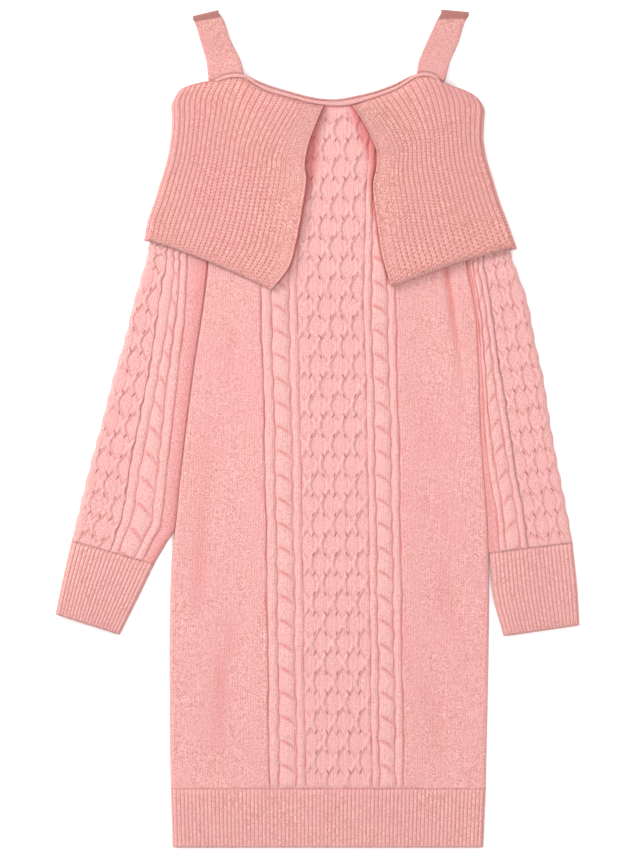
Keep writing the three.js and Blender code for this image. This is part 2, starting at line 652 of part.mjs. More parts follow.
function sleeve(name, table, bodySide, colour) {
  const raw = along(table);
  const left = bodySide < 0;
  const rowAt = (t) => {
    const row = raw(t);
    const limit = left ? bodyLeft(row.innerY) - SLEEVE_GAP : bodyRight(row.innerY) + SLEEVE_GAP;
    const innerX = left ? Math.min(row.innerX, limit) : Math.max(row.innerX, limit);
    return { ...row, innerX };
  };
  const length = sleeveLength(rowAt);
  const shownTo = coveredFrom(rowAt, COVERED_Y);
  const timesFor = (repeat) => [
    ...steps(0, shownTo, repeat / STEPS_PER_REPEAT / length),
    ...steps(shownTo, 1, PLAIN_STEP / length).slice(1),
  ];
  const cellTimes = timesFor(CELL_ROW);
  const ropeTimes = timesFor(ROPE_TWIST);
  const plain = steps(0, 1, PLAIN_STEP / length);
  const shown = (t) => (1 - smooth(((t - shownTo) * length + 14) / 14)) * smooth((t * length) / 4);
  const lines = [];
  const add = (times, at, rise) => {
    const place = (row, t, w) => ({ distance: at(row, w), front: true, rise: rise(row, t, w) });
    lines.push({ front: true, times, place });
  };
  const grooveA = (row, w) => row.a * w - GROOVE_HALF;

  add(plain, () => 0, () => 0);
  add(plain, () => BESIDE_FOLD, () => 0);
  for (let i = 1; i < SLEEVE_CELL_COLUMNS; i += 1) {
    const share = i / SLEEVE_CELL_COLUMNS;
    const rise = (row, t, w) => {
      const fromGroove = grooveA(row, w) * (1 - share);
      const fade = smooth((row.a * w - fromGroove) / SLEEVE_CELL_FADE);
      const across = 1.5 * CELL_WIDTH - fromGroove;
      return SLEEVE_RISE * honeycomb(across, t * length) * fade * shown(t);
    };
    add(cellTimes, (row, w) => lerp(BESIDE_FOLD, grooveA(row, w), share), rise);
  }
  add(cellTimes, grooveA, () => -GROOVE_DEPTH);
  for (const cable of SLEEVE_CABLES) {
    const isRope = cable.kind === "rope";
    const columns = isRope ? 4 : 3;
    for (let i = 0; i < columns; i += 1) {
      const u = lerp(-1, 1, i / (columns - 1));
      const groove = i === 0 || i === columns - 1;
      const height = (t) => (isRope ? rope(u, t * length, cable.turn) : ridge(u));
      add(
        isRope ? ropeTimes : plain,
        (row, w) => lerp(row[cable.from] * w + GROOVE_HALF, row[cable.to] * w - GROOVE_HALF, (u + 1) / 2),
        (row, t) => (groove ? -GROOVE_DEPTH : SLEEVE_RISE * height(t) * shown(t)),
      );
    }
  }
  add(plain, (row, w) => lerp(row.d, 1, SLEEVE_PLAIN_SHARE) * w, () => 0);
  add(plain, (row, w) => w - BESIDE_FOLD, () => 0);
  add(plain, (row, w) => w, () => 0);
  const allLines = [...lines, ...underLines(plain)];
  return tube(name, rowAt, SLEEVE_HEIGHT, SLEEVE_WALL, allLines, plain, colour, lift);
}

function sleeveLength(rowAt) {
  const middles = steps(0, 1, 0.05).map((t) => {
    const row = rowAt(t);
    return { x: (row.outerX + row.innerX) / 2, y: (row.outerY + row.innerY) / 2 };
  });
  let length = 0;
  for (let i = 1; i < middles.length; i += 1) {
    length += Math.hypot(middles[i].x - middles[i - 1].x, middles[i].y - middles[i - 1].y);
  }
  return length;
}

// The share of the sleeve's length at which its middle goes under the collar
function coveredFrom(rowAt, y) {
  let t = 0;
  while (t < 1 && (rowAt(t).outerY + rowAt(t).innerY) / 2 < y) t += 0.005;
  return t;
}

function cuff(name, table, colour) {
  const rowAt = along(table);
  const times = steps(0, 1, 1 / 3);
  const lines = ribbedLines(widthOf(rowAt(1)), CUFF_RIB, RIB_RISE, times);
  return tube(name, rowAt, RIB_TUBE_HEIGHT, RIB_WALL, lines, times, colour, () => 0);
}

function hem() {
  const topY = HEM.topY;
  const table = [
    { outerX: HEM.bottomLeft, outerY: HEM.bottomY, innerX: HEM.bottomRight, innerY: HEM.bottomY },
    { outerX: bodyLeft(topY), outerY: topY, innerX: bodyRight(topY), innerY: topY },
  ];
  const rowAt = along(table);
  const times = steps(0, 1, 1 / 2);
  const lines = ribbedLines(bodyRight(topY) - bodyLeft(topY), HEM_RIB, RIB_RISE, times);
  return tube("hem_rib", rowAt, RIB_TUBE_HEIGHT, RIB_WALL, lines, times, "#f2ada9", () => 0);
}

const COLLAR_UNDER_BINDING = BINDING_WIDTH + 0.4;
const COLLAR_BACK_TOP_Y = 366;
const shoulder = curve(COLLAR_SHOULDERS, "x", "y");

// Upper edge of the front of the collar: under the binding, and round beyond the straps
function collarTop(x) {
  const underBinding = x > FRONT_NECK[0].x && x < FRONT_NECK.at(-1).x;
  return underBinding ? frontNeck(x) - COLLAR_UNDER_BINDING : shoulder(x);
}

// Front flap of the collar as a patch between its four edges; s runs from the side fold to
// the free edge and t from the lower edge to the neck. The side fold bulges out by bulge.
function flapPatch(table) {
  const edges = along(table);
  const sign = Math.sign(table[0].freeX - table[0].sideX);
  const high = edges(1);
  return (s, t, bulge = COLLAR_SIDE_ROUND) => {
    const row = edges(t);
    const inward = sign * bulge * (1 - s);
    const topX = lerp(high.sideX, high.freeX, s) + inward;
    const straightTop = lerp(high.sideY, high.freeY, s);
    const top = lerp(collarTop(topX), high.freeY, smooth((s - 0.9) / 0.1)) - straightTop;
    const bow = COLLAR_BOW * Math.sin(Math.PI * s);
    const rises = t + (t ** 4 - t) * (1 - s) ** 4;
    const y = lerp(row.sideY, row.freeY, s) + top * rises + bow * (1 - t);
    return { x: lerp(row.sideX, row.freeX, s) + inward, y, sign };
  };
}

// Shares of the whole strip taken by each part, from the left free edge to the right one
const COLLAR_PARTS = { leftFlap: 0.3, leftFold: 0.35, back: 0.65, rightFold: 0.7 };
const COLLAR_FOLD_ANGLES = [0.6, 0, -0.6].map((share) => (share * Math.PI) / 2);
const COLLAR_BACK_SHARES = [0, 0.2, 0.4, 0.6, 0.8, 1];
const COLLAR_ROWS = 7;
const FLAP_INSIDE_COLUMNS = 6;
const RIBS_FADE_SHARE = 0.14;

function collar() {
  const left = flapPatch(COLLAR_LEFT);
  const right = flapPatch(COLLAR_RIGHT);
  const times = steps(0, 1, 1 / COLLAR_ROWS);
  const top = (y) => lift(y) + FLAP_INSIDE;

  const flapLine = (patch, s, height) => (t) => {
    const { x, y } = patch(s, t);
    return { x, y, z: top(y) + height };
  };
  const backLine = (share, height) => (t) => {
    const a = left(0, t);
    const b = right(0, t);
    const x = lerp(a.x, b.x, share);
    const level = lerp(a.y, b.y, share);
    const arch = Math.sin(Math.PI * share);
    const follows = Math.min(backNeck(x) - COLLAR_UNDER_BINDING, COLLAR_BACK_TOP_Y) - level;
    const neck = follows * smooth((t - 0.6) / 0.4) * arch ** 0.5;
    return { x, y: level - COLLAR_BACK_DIP * arch * (1 - t) + neck, z: height };
  };
  const foldLine = (patch, angle, inset) => (t) => {
    const reach = (COLLAR_SIDE_ROUND - inset) * Math.cos(angle);
    const { x, y } = patch(0, t, COLLAR_SIDE_ROUND - reach);
    const outside = top(y) + COLLAR_WALL;
    return { x, y, z: outside / 2 + (outside / 2 - inset) * Math.sin(angle) };
  };

  const ribCount = (table) => Math.round(Math.abs(table[3].freeX - table[3].sideX) / COLLAR_RIB);
  const skin = (ribbed, inset) => {
    const lines = [];
    const push = (s, pointAt) => lines.push(times.map((t) => ({ ...pointAt(t), s, t })));
    const flap = (table, patch, from, to, outward) => {
      const count = ribbed ? 2 * ribCount(table) : FLAP_INSIDE_COLUMNS;
      for (let i = 0; i <= count; i += 1) {
        const s = outward ? i / count : 1 - i / count;
        const rise = (i % 2 === 0 ? -RIB_RISE : RIB_RISE) * smooth((1 - s) / RIBS_FADE_SHARE);
        push(lerp(from, to, i / count), flapLine(patch, s, ribbed ? COLLAR_WALL + rise : 0));
      }
    };
    const { leftFlap, leftFold, back, rightFold } = COLLAR_PARTS;
    flap(COLLAR_LEFT, left, 0, leftFlap, false);
    COLLAR_FOLD_ANGLES.forEach((angle, i) => {
      push(lerp(leftFlap, leftFold, (i + 1) / 4), foldLine(left, angle, inset));
    });
    for (const share of COLLAR_BACK_SHARES) push(lerp(leftFold, back, share), backLine(share, inset));
    [...COLLAR_FOLD_ANGLES].reverse().forEach((angle, i) => {
      push(lerp(back, rightFold, (i + 1) / 4), foldLine(right, angle, inset));
    });
    flap(COLLAR_RIGHT, right, rightFold, 1, true);
    return lines;
  };
  return wall("collar", skin(true, 0), skin(false, COLLAR_WALL), "#eca6a1");
}

// A strap goes up from the front neckline, folds over at its top and comes down behind.
// turned is how far round the fold a station is.
const strapStations = (() => {
  const rises = steps(0, 1, 1 / 7);
  return [
    ...rises.map((t) => ({ t, front: true, turned: 0 })),
    ...[0.35, 0.65].map((turned) => ({ t: 1, front: true, turned })),
    ...[...rises].reverse().map((t) => ({ t, front: false, turned: 0 })),
  ];
})();

function strap(name, table, colour) {
  const rowAt = along(table);
  const baseAt = (y) => LIFT * (1 - smooth((y - STRAP_BASE_Y) / STRAP_SETTLES));
  const skin = (shares, outside) => {
    const reach = outside ? STRAP_FOLD_REACH : STRAP_FOLD_INSIDE_REACH;
    const inside = outside ? 0 : STRAP_WALL;
    return shares.map((share) =>
      strapStations.map(({ t, front, turned }, i) => {
        const row = rowAt(t);
        const x = lerp(row.leftX, row.rightX, share);
        const neck = front ? frontNeck(x) - 0.2 : backNeck(x) - BACK_BINDING_WIDTH + 0.8;
        const straight = lerp(neck, lerp(row.leftY, row.rightY, share), smooth(t / 0.25) * 0.999 + 0.001);
        const nearTop = smooth((t - 0.8) / 0.2);
        const low = baseAt(straight) + inside;
        const high = baseAt(straight) + FRONT_INSIDE + STRAP_WALL - inside;
        const crown = outside && front && turned === 0 && share > 0.1 && share < 0.9 ? STRAP_CROWN : 0;
        return {
          x,
          y: Math.max(straight, neck) + reach * Math.sin(Math.PI * turned) - (2 + inside) * nearTop,
          z: (turned > 0 ? lerp(high, low, turned) : front ? high : low) + crown,
          s: share,
          t: i,
        };
      }),
    );
  };
  return wall(name, skin([0, 0.25, 0.5, 0.75, 1], true), skin([0, 0.5, 1], false), colour);
}

// Section of a binding, as shares of its width and height
const BINDING_SECTION = [
  { across: -0.5, up: 0 },
  { across: -0.28, up: 1 },
  { across: 0.28, up: 1 },
  { across: 0.5, up: 0 },
];

// A soft roll swept along a neckline
function binding(name, neck, xs, { bottom, height, width }, colour) {
  const lines = BINDING_SECTION.map(({ across, up }) =>
    xs.map((x, i) => ({
      x,
      y: neck(x) + (across - 0.5) * width,
      z: bottom + up * height,
      t: i / (xs.length - 1),
    })),
  );
  const faces = [];
  const count = lines.length;
  for (let i = 0; i < count; i += 1) stitch(faces, lines[i], lines[(i + 1) % count], "t");
  for (let i = 1; i < count - 1; i += 1) {
    const last = xs.length - 1;
    faces.push([lines[0][0], lines[i + 1][0], lines[i][0]]);
    faces.push([lines[0][last], lines[i][last], lines[i + 1][last]]);
  }
  return solid(name, faces, colour);
}

// The front binding runs over the straps. The back one runs between them and keeps to the
// edge of the back panel.
const frontBindingX = steps(-111, 132, 9);
const frontRoll = {
  bottom: LIFT + FRONT_INSIDE + BODY_WALL + SEAM_GAP,
  height: BINDING_HEIGHT,
  width: BINDING_WIDTH,
};
const backRoll = { bottom: LIFT, height: BODY_WALL, width: BACK_BINDING_WIDTH };
const backEdgePoints = SKIN_SHARES.map((share) => skinPoint(NECK_CENTRE_Y, share, backPanelNeck, 0));
const backEdgeX = backEdgePoints.map(({ x }) => x);
const backBindingX = [-74, ...backEdgeX.filter((x) => x > -70 && x < 100), 103.5];
const backEdge = (x) => {
  const i = backEdgeX.findIndex((edge) => edge > x);
  const [low, high] = [backEdgePoints[i - 1], backEdgePoints[i]];
  return lerp(low.y, high.y, (x - low.x) / (high.x - low.x)) + BACK_BINDING_WIDTH + SEAM_GAP;
};

const dress = new THREE.Group();
dress.name = "sweater_dress";
dress.add(
  frontPanel(),
  backPanel(),
  hem(),
  sleeve("sleeve_left", LEFT_SLEEVE, -1, "#f4aea8"),
  sleeve("sleeve_right", RIGHT_SLEEVE, 1, "#f4aea8"),
  cuff("cuff_left", LEFT_CUFF, "#f1aca8"),
  cuff("cuff_right", RIGHT_CUFF, "#f1aca8"),
  collar(),
  strap("strap_left", LEFT_STRAP, "#eea8a3"),
  strap("strap_right", RIGHT_STRAP, "#eea8a3"),
  binding("neck_binding_front", frontNeck, frontBindingX, frontRoll, "#eda59e"),
  binding("neck_binding_back", backEdge, backBindingX, backRoll, "#e9a19a"),
);

// The origin is the middle of the outline on the table
const box = new THREE.Box3().setFromObject(dress);
for (const mesh of dress.children) {
  mesh.geometry.translate(-(box.min.x + box.max.x) / 2, -(box.min.y + box.max.y) / 2, -box.min.z);
}

export default dress;
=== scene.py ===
# Off-shoulder cable-knit sweater dress, laid flat on a pale table, seen from straight above.
# Lengths below are in millimetres; points turn to metres where a mesh is made.
import json
import math
from functools import lru_cache
import bmesh
import bpy
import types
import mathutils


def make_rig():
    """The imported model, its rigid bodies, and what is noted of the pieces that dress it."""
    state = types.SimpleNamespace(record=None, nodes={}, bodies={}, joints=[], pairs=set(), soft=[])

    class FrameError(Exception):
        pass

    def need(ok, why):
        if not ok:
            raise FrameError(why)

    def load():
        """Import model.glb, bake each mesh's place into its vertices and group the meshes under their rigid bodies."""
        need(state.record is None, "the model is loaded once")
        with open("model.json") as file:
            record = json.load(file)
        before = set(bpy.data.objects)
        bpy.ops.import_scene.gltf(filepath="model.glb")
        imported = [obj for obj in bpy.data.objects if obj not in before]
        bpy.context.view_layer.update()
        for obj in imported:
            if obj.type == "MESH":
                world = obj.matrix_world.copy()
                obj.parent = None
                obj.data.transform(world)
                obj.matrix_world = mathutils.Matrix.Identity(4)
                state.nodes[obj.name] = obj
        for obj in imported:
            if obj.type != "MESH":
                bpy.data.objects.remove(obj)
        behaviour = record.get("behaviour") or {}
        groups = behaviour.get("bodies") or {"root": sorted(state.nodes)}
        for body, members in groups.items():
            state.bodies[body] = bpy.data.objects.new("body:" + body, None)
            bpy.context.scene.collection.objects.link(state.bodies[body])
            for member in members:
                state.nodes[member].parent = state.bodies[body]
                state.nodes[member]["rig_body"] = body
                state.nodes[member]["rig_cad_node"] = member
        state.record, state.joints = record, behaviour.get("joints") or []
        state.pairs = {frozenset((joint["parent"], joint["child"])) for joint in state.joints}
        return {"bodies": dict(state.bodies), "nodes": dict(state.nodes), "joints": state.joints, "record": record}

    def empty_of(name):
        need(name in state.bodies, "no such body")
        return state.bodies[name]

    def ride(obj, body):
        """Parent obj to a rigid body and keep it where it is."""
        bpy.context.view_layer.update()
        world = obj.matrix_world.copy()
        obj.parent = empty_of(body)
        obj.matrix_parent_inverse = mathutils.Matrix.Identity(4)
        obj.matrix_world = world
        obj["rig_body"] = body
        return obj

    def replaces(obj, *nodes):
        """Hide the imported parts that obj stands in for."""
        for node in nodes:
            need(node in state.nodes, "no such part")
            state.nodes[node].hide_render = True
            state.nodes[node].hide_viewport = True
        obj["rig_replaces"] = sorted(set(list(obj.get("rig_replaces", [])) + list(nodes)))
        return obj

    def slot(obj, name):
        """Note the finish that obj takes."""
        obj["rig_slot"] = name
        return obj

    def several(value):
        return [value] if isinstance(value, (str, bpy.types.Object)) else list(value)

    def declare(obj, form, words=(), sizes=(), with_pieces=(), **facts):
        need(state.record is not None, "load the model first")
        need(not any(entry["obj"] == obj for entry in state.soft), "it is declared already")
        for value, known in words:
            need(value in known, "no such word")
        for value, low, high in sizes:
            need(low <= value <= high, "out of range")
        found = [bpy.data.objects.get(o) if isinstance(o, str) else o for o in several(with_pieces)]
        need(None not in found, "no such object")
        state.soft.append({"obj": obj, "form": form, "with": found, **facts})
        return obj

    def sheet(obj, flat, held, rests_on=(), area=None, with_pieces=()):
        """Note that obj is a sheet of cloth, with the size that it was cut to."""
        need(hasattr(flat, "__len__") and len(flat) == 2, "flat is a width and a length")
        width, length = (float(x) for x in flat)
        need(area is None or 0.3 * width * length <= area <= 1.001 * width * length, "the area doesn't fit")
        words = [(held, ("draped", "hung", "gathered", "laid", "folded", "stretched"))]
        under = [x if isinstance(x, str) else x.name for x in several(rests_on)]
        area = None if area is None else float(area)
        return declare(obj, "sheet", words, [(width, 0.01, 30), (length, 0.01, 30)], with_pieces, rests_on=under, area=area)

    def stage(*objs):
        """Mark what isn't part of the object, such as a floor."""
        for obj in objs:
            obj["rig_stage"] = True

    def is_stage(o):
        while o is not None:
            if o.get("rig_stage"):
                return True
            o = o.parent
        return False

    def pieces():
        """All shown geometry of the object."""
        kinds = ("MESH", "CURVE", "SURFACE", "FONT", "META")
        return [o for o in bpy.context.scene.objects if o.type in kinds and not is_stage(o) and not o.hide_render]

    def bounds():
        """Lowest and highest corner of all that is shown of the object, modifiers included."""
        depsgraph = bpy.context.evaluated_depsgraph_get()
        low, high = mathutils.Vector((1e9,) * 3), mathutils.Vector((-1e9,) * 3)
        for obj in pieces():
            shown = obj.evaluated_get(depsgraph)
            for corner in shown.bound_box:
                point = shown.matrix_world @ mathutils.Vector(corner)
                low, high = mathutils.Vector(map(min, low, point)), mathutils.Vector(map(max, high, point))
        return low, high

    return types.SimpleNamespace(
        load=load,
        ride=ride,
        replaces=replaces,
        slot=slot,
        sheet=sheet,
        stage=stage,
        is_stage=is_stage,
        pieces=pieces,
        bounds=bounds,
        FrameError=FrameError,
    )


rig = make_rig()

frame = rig.load()
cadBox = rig.bounds()
scene = bpy.context.scene
mm = 0.001


# Camera, light and table

stageSettings = {
    "lookAt": (3.2, 2.7),
    "viewHeight": 917.0,
    "lens": 100.0,
    "sensor": 36.0,
    "clothHeight": 7.0,
    "tableColour": "#ffffff",
    "tableSize": 4.0,
    "tableDrop": 0.6,
    # name, place in metres, size, power, tint
    "lights": [
        ("window", (-2.0, 1.5, 1.2), 1.0, 77, (1.0, 0.985, 0.97)),
        ("overhead", (0.3, -0.1, 2.3), 2.4, 39, (1.0, 1.0, 1.0)),
    ],
    "worldTint": (1.0, 0.93, 0.915, 1),
    "worldStrength": 0.73,
}


def linearColour(code):
    parts = [int(code[i:i + 2], 16) / 255 for i in (1, 3, 5)]
    turned = [c / 12.92 if c <= 0.04045 else ((c + 0.055) / 1.055) ** 2.4 for c in parts]
    return (*turned, 1.0)


def placeCamera(s):
    camera = bpy.data.objects.new("camera", bpy.data.cameras.new("camera"))
    camera.data.lens = s["lens"]
    camera.data.sensor_width = s["sensor"]
    distance = s["viewHeight"] * s["lens"] / s["sensor"] + s["clothHeight"]
    camera.location = (s["lookAt"][0] * mm, s["lookAt"][1] * mm, distance * mm)
    camera.data.clip_end = 20
    scene.collection.objects.link(camera)
    scene.camera = camera


def softLight(name, place, size, power, tint):
    lamp = bpy.data.objects.new(name, bpy.data.lights.new(name, "AREA"))
    lamp.data.shape = "SQUARE"
    lamp.data.size = size
    lamp.data.energy = power
    lamp.data.color = tint
    lamp.location = place
    direction = lamp.location.normalized()
    lamp.rotation_euler = direction.to_track_quat("Z", "Y").to_euler()
    scene.collection.objects.link(lamp)


placeCamera(stageSettings)
for light in stageSettings["lights"]:
    softLight(*light)
world = bpy.data.worlds.new("studio")
world.use_nodes = True
background = world.node_tree.nodes["Background"].inputs
background["Color"].default_value = stageSettings["worldTint"]
background["Strength"].default_value = stageSettings["worldStrength"]
scene.world = world
scene.view_settings.view_transform = "Standard"
print("stage set")


# Curves through the garment's measured stations

def curveThrough(rows, key, value):
    rows = sorted(rows, key=lambda row: row[key])
    last = len(rows) - 1

    def slope(i):
        low, high = rows[max(0, i - 1)], rows[min(last, i + 1)]
        return (high[value] - low[value]) / (high[key] - low[key])

    slopes = [slope(i) for i in range(last + 1)]

    @lru_cache(maxsize=None)
    def read(at):
        at = min(max(at, rows[0][key]), rows[last][key])
        i = 0
        while i < last - 1 and at > rows[i + 1][key]:
            i += 1
        span = rows[i + 1][key] - rows[i][key]
        t = (at - rows[i][key]) / span
        rise = t * t * (3 - 2 * t)
        bend = slopes[i] * (t ** 3 - 2 * t ** 2 + t) + slopes[i + 1] * (t ** 3 - t ** 2)
        return mix(rows[i][value], rows[i + 1][value], rise) + span * bend

    return read


def curvesAlong(rows):
    columns = len(rows[0])
    numbered = [(i / (len(rows) - 1), *row) for i, row in enumerate(rows)]
    curves = [curveThrough(numbered, 0, column + 1) for column in range(columns)]

    @lru_cache(maxsize=None)
    def read(t):
        return tuple(curve(t) for curve in curves)

    return read


def mix(a, b, t):
    return a + (b - a) * t


def clamp(v, low=0.0, high=1.0):
    return min(high, max(low, v))


def smooth(v):
    v = clamp(v)
    return v * v * (3 - 2 * v)


def bell(distance, width):
    return math.exp(-(distance / width) ** 2)


# The body's outline: y, left edge, right edge
bodyEdges = [
    (-388.1, -157.5, 181.7), (-334.3, -158.6, 182.8), (-291.3, -158.8, 183.8),
    (-226.8, -158.9, 184.9), (-159.1, -157.5, 185.4), (-124.7, -155.3, 184.7),
    (-91.4, -151.3, 183.3), (-54.8, -147.8, 180.4), (-10.8, -143.0, 177.4),
    (32.2, -137.6, 175.7), (73.1, -132.2, 174.6), (126.8, -123.8, 170.9),
    (177.4, -117.7, 161.2), (246.2, -115.0, 151.6), (299.9, -112.9, 143.0),
    (348.3, -111.8, 135.4), (377.3, -111.8, 133.3),
]
# Middle of the cables: y, x
cableAxisRows = [
    (-388.1, 23.6), (-269.8, 22.0), (-140.8, 20.4), (14.0, 17.7), (95.7, 15.6),
    (149.4, 14.5), (246.2, 16.7), (299.9, 19.9), (353.7, 21.5),
]
# Upper edge of the neck in front: x, y
frontNeckRows = [
    (-113.4, 373.6), (-103.2, 378.2), (-94.6, 380.8), (-87.1, 381.6), (-76.3, 379.9),
    (-64.5, 372.5), (-52.7, 366.6), (-39.8, 362.8), (-25.8, 359.1), (-5.4, 353.9),
    (18.3, 351.3), (36.5, 352.6), (52.7, 356.9), (72.0, 363.3), (84.9, 368.5),
    (94.6, 374.1), (101.0, 378.4), (107.0, 381.3), (113.9, 382.9), (121.5, 382.3),
    (129.0, 378.6), (134.4, 373.0),
]
# and behind
backNeckRows = [
    (-113.4, 373.6), (-103.2, 378.2), (-94.6, 380.8), (-87.1, 381.6), (-76.3, 380.3),
    (-64.5, 375.6), (-53.8, 371.3), (-40.9, 367.0), (-25.8, 362.7), (-5.4, 357.5),
    (16.1, 355.2), (33.3, 357.1), (59.1, 362.9), (72.0, 367.0), (82.8, 371.3),
    (91.4, 375.6), (100.0, 379.9), (107.0, 382.1), (113.9, 383.1), (121.5, 382.3),
    (129.0, 378.6), (134.4, 373.0),
]
# The soft fold at the viewer's right: y, x
foldRows = [
    (377.3, 118.0), (246.2, 130.0), (166.2, 139.5), (137.6, 143.6), (107.5, 147.7),
    (79.8, 151.9), (45.5, 156.0), (18.3, 160.2), (-40.0, 163.5), (-388.1, 160.0),
]
bodyLeft = curveThrough(bodyEdges, 0, 1)
bodyRight = curveThrough(bodyEdges, 0, 2)
cableAxis = curveThrough(cableAxisRows, 0, 1)
frontNeck = curveThrough(frontNeckRows, 0, 1)
backNeck = curveThrough(backNeckRows, 0, 1)
foldX = curveThrough(foldRows, 0, 1)

layers = {
    "lift": 3.35, "liftFrom": 70.0, "liftTo": 170.0,
    "bodyWall": 2.4, "frontInside": 2.9, "flapInside": 7.95, "collarWall": 3.0,
    "sleeveHeight": 6.0, "ribHeight": 6.6,
    "footY": -387.75, "neckY": 351.0, "bendFrom": 225.0,
}


def lift(y):
    return layers["lift"] * smooth((y - layers["liftFrom"]) / (layers["liftTo"] - layers["liftFrom"]))


def bentRow(row, x, neck):
    share = smooth((row - layers["bendFrom"]) / (layers["neckY"] - layers["bendFrom"]))
    return row + (neck(x) - layers["neckY"]) * share


# Raised knitting. Each gives a height from 0 to 1 and how far down in a hollow the yarn lies; the materials paint that
# as shade.

cables = {
    "rise": 1.9, "sleeveRise": 1.4, "groove": 0.3,
    "cellWidth": 23.8, "cellRow": 21.25, "cellRowAt": -28.5, "swing": 4.3, "strandHalf": 2.9,
    "ropeTwist": 26.0, "ropeLean": 0.22, "ropeBend": 0.45,
}


def honeycomb(u, v):
    pitch = cables["cellWidth"] / 2
    wave = cables["swing"] * math.cos(math.pi * v / cables["cellRow"])
    nearest = round(u / pitch)
    strands = (i * pitch + (wave if i % 2 == 0 else -wave) for i in range(nearest - 1, nearest + 2))
    away = min(abs(u - strand) for strand in strands)
    half = cables["strandHalf"]
    strand = math.sqrt(max(0.0, 1 - (away / half) ** 2))
    cell = smooth((away - half) / 2.5)
    return max(strand, 0.1 + 0.25 * cell), 0.45 * bell(away - half, 0.8)


def ropeTwist(u, v, turn):
    phase = v / cables["ropeTwist"] - cables["ropeLean"] * (turn * u - cables["ropeBend"] * u * u)
    local = 2 * abs(phase - math.floor(phase) - 0.5)
    strand = math.sqrt(max(0.0, 1 - local ** 3))
    round_ = max(0.0, 1 - u * u) ** 0.7
    valley = bell((1 - local) * cables["ropeTwist"] / 2, 1.9) * round_
    return round_ * (0.2 + 0.8 * strand), 0.75 * valley


def ridgeTop(u):
    return 0.8 * max(0.0, 1 - u * u) ** 0.7


def raised(kind, u, v, turn=1):
    if kind == "ridge":
        return ridgeTop(u), 0.0
    return honeycomb(u, v) if kind == "honeycomb" else ropeTwist(u, v, turn)


# Meshes: a bmesh grid is laid over each piece and moved into place

def spreadColumns(stops):
    # each stop is (segments, spacing) for the band that follows it
    table = []
    for band, (segments, crowded) in enumerate(stops):
        for i in range(segments):
            f = i / segments
            if crowded:
                f = (1 - math.cos(math.pi * f)) / 2
            table.append((band, f))
    table.append((len(stops) - 1, 1.0))
    return table


def knitPiece(name, columns, rows, place, settings, ring=False):
    bm = bmesh.new()
    bmesh.ops.create_grid(bm, x_segments=columns, y_segments=rows, size=0.5)
    uvLayer = bm.loops.layers.uv.new("cloth")
    marks = {mark: bm.verts.layers.float.new(mark) for mark in ("hollow", "cells", "crown", "warm")}
    placed = {}
    for v in bm.verts:
        column = round((v.co.x + 0.5) * columns)
        row = round((v.co.y + 0.5) * rows)
        placed[v] = place(column, row / rows)
    for face in bm.faces:
        for loop in face.loops:
            loop[uvLayer].uv = placed[loop.vert]["cloth"]
    for v, spot in placed.items():
        v.co = [c * mm for c in spot["at"]]
        for mark, layer in marks.items():
            v[layer] = clamp(spot.get(mark, 0.0))
    if ring:
        bmesh.ops.remove_doubles(bm, verts=bm.verts, dist=0.02 * mm)
    bmesh.ops.recalc_face_normals(bm, faces=bm.faces)
    if not ring:
        highest = max(bm.faces, key=lambda f: f.calc_center_median().z)
        if highest.normal.z * settings.get("faces", 1) < 0:
            bmesh.ops.reverse_faces(bm, faces=bm.faces)
    for face in bm.faces:
        face.smooth = True
    mesh = bpy.data.meshes.new(name)
    bm.to_mesh(mesh)
    bm.free()
    piece = bpy.data.objects.new(name, mesh)
    scene.collection.objects.link(piece)
    wall = piece.modifiers.new("wall", "SOLIDIFY")
    wall.thickness = settings["thickness"] * mm
    wall.offset = -1
    wall.use_even_offset = False
    return piece


def dress(piece, node, slot, material, cut):
    piece.data.materials.append(material)
    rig.ride(piece, "root")
    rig.replaces(piece, node)
    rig.slot(piece, slot)
    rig.sheet(piece, flat=cut["flat"], held="laid", rests_on=cut["restsOn"], area=cut.get("area"))
    print("made", piece.name, len(piece.data.polygons))


# Materials

def addNode(tree, kind, links=None, values=None, **settings):
    node = tree.nodes.new(kind)
    for name, value in settings.items():
        setattr(node, name, value)
    for socket, value in (values or {}).items():
        node.inputs[socket].default_value = value
    for socket, source in (links or {}).items():
        tree.links.new(source, node.inputs[socket])
    return node


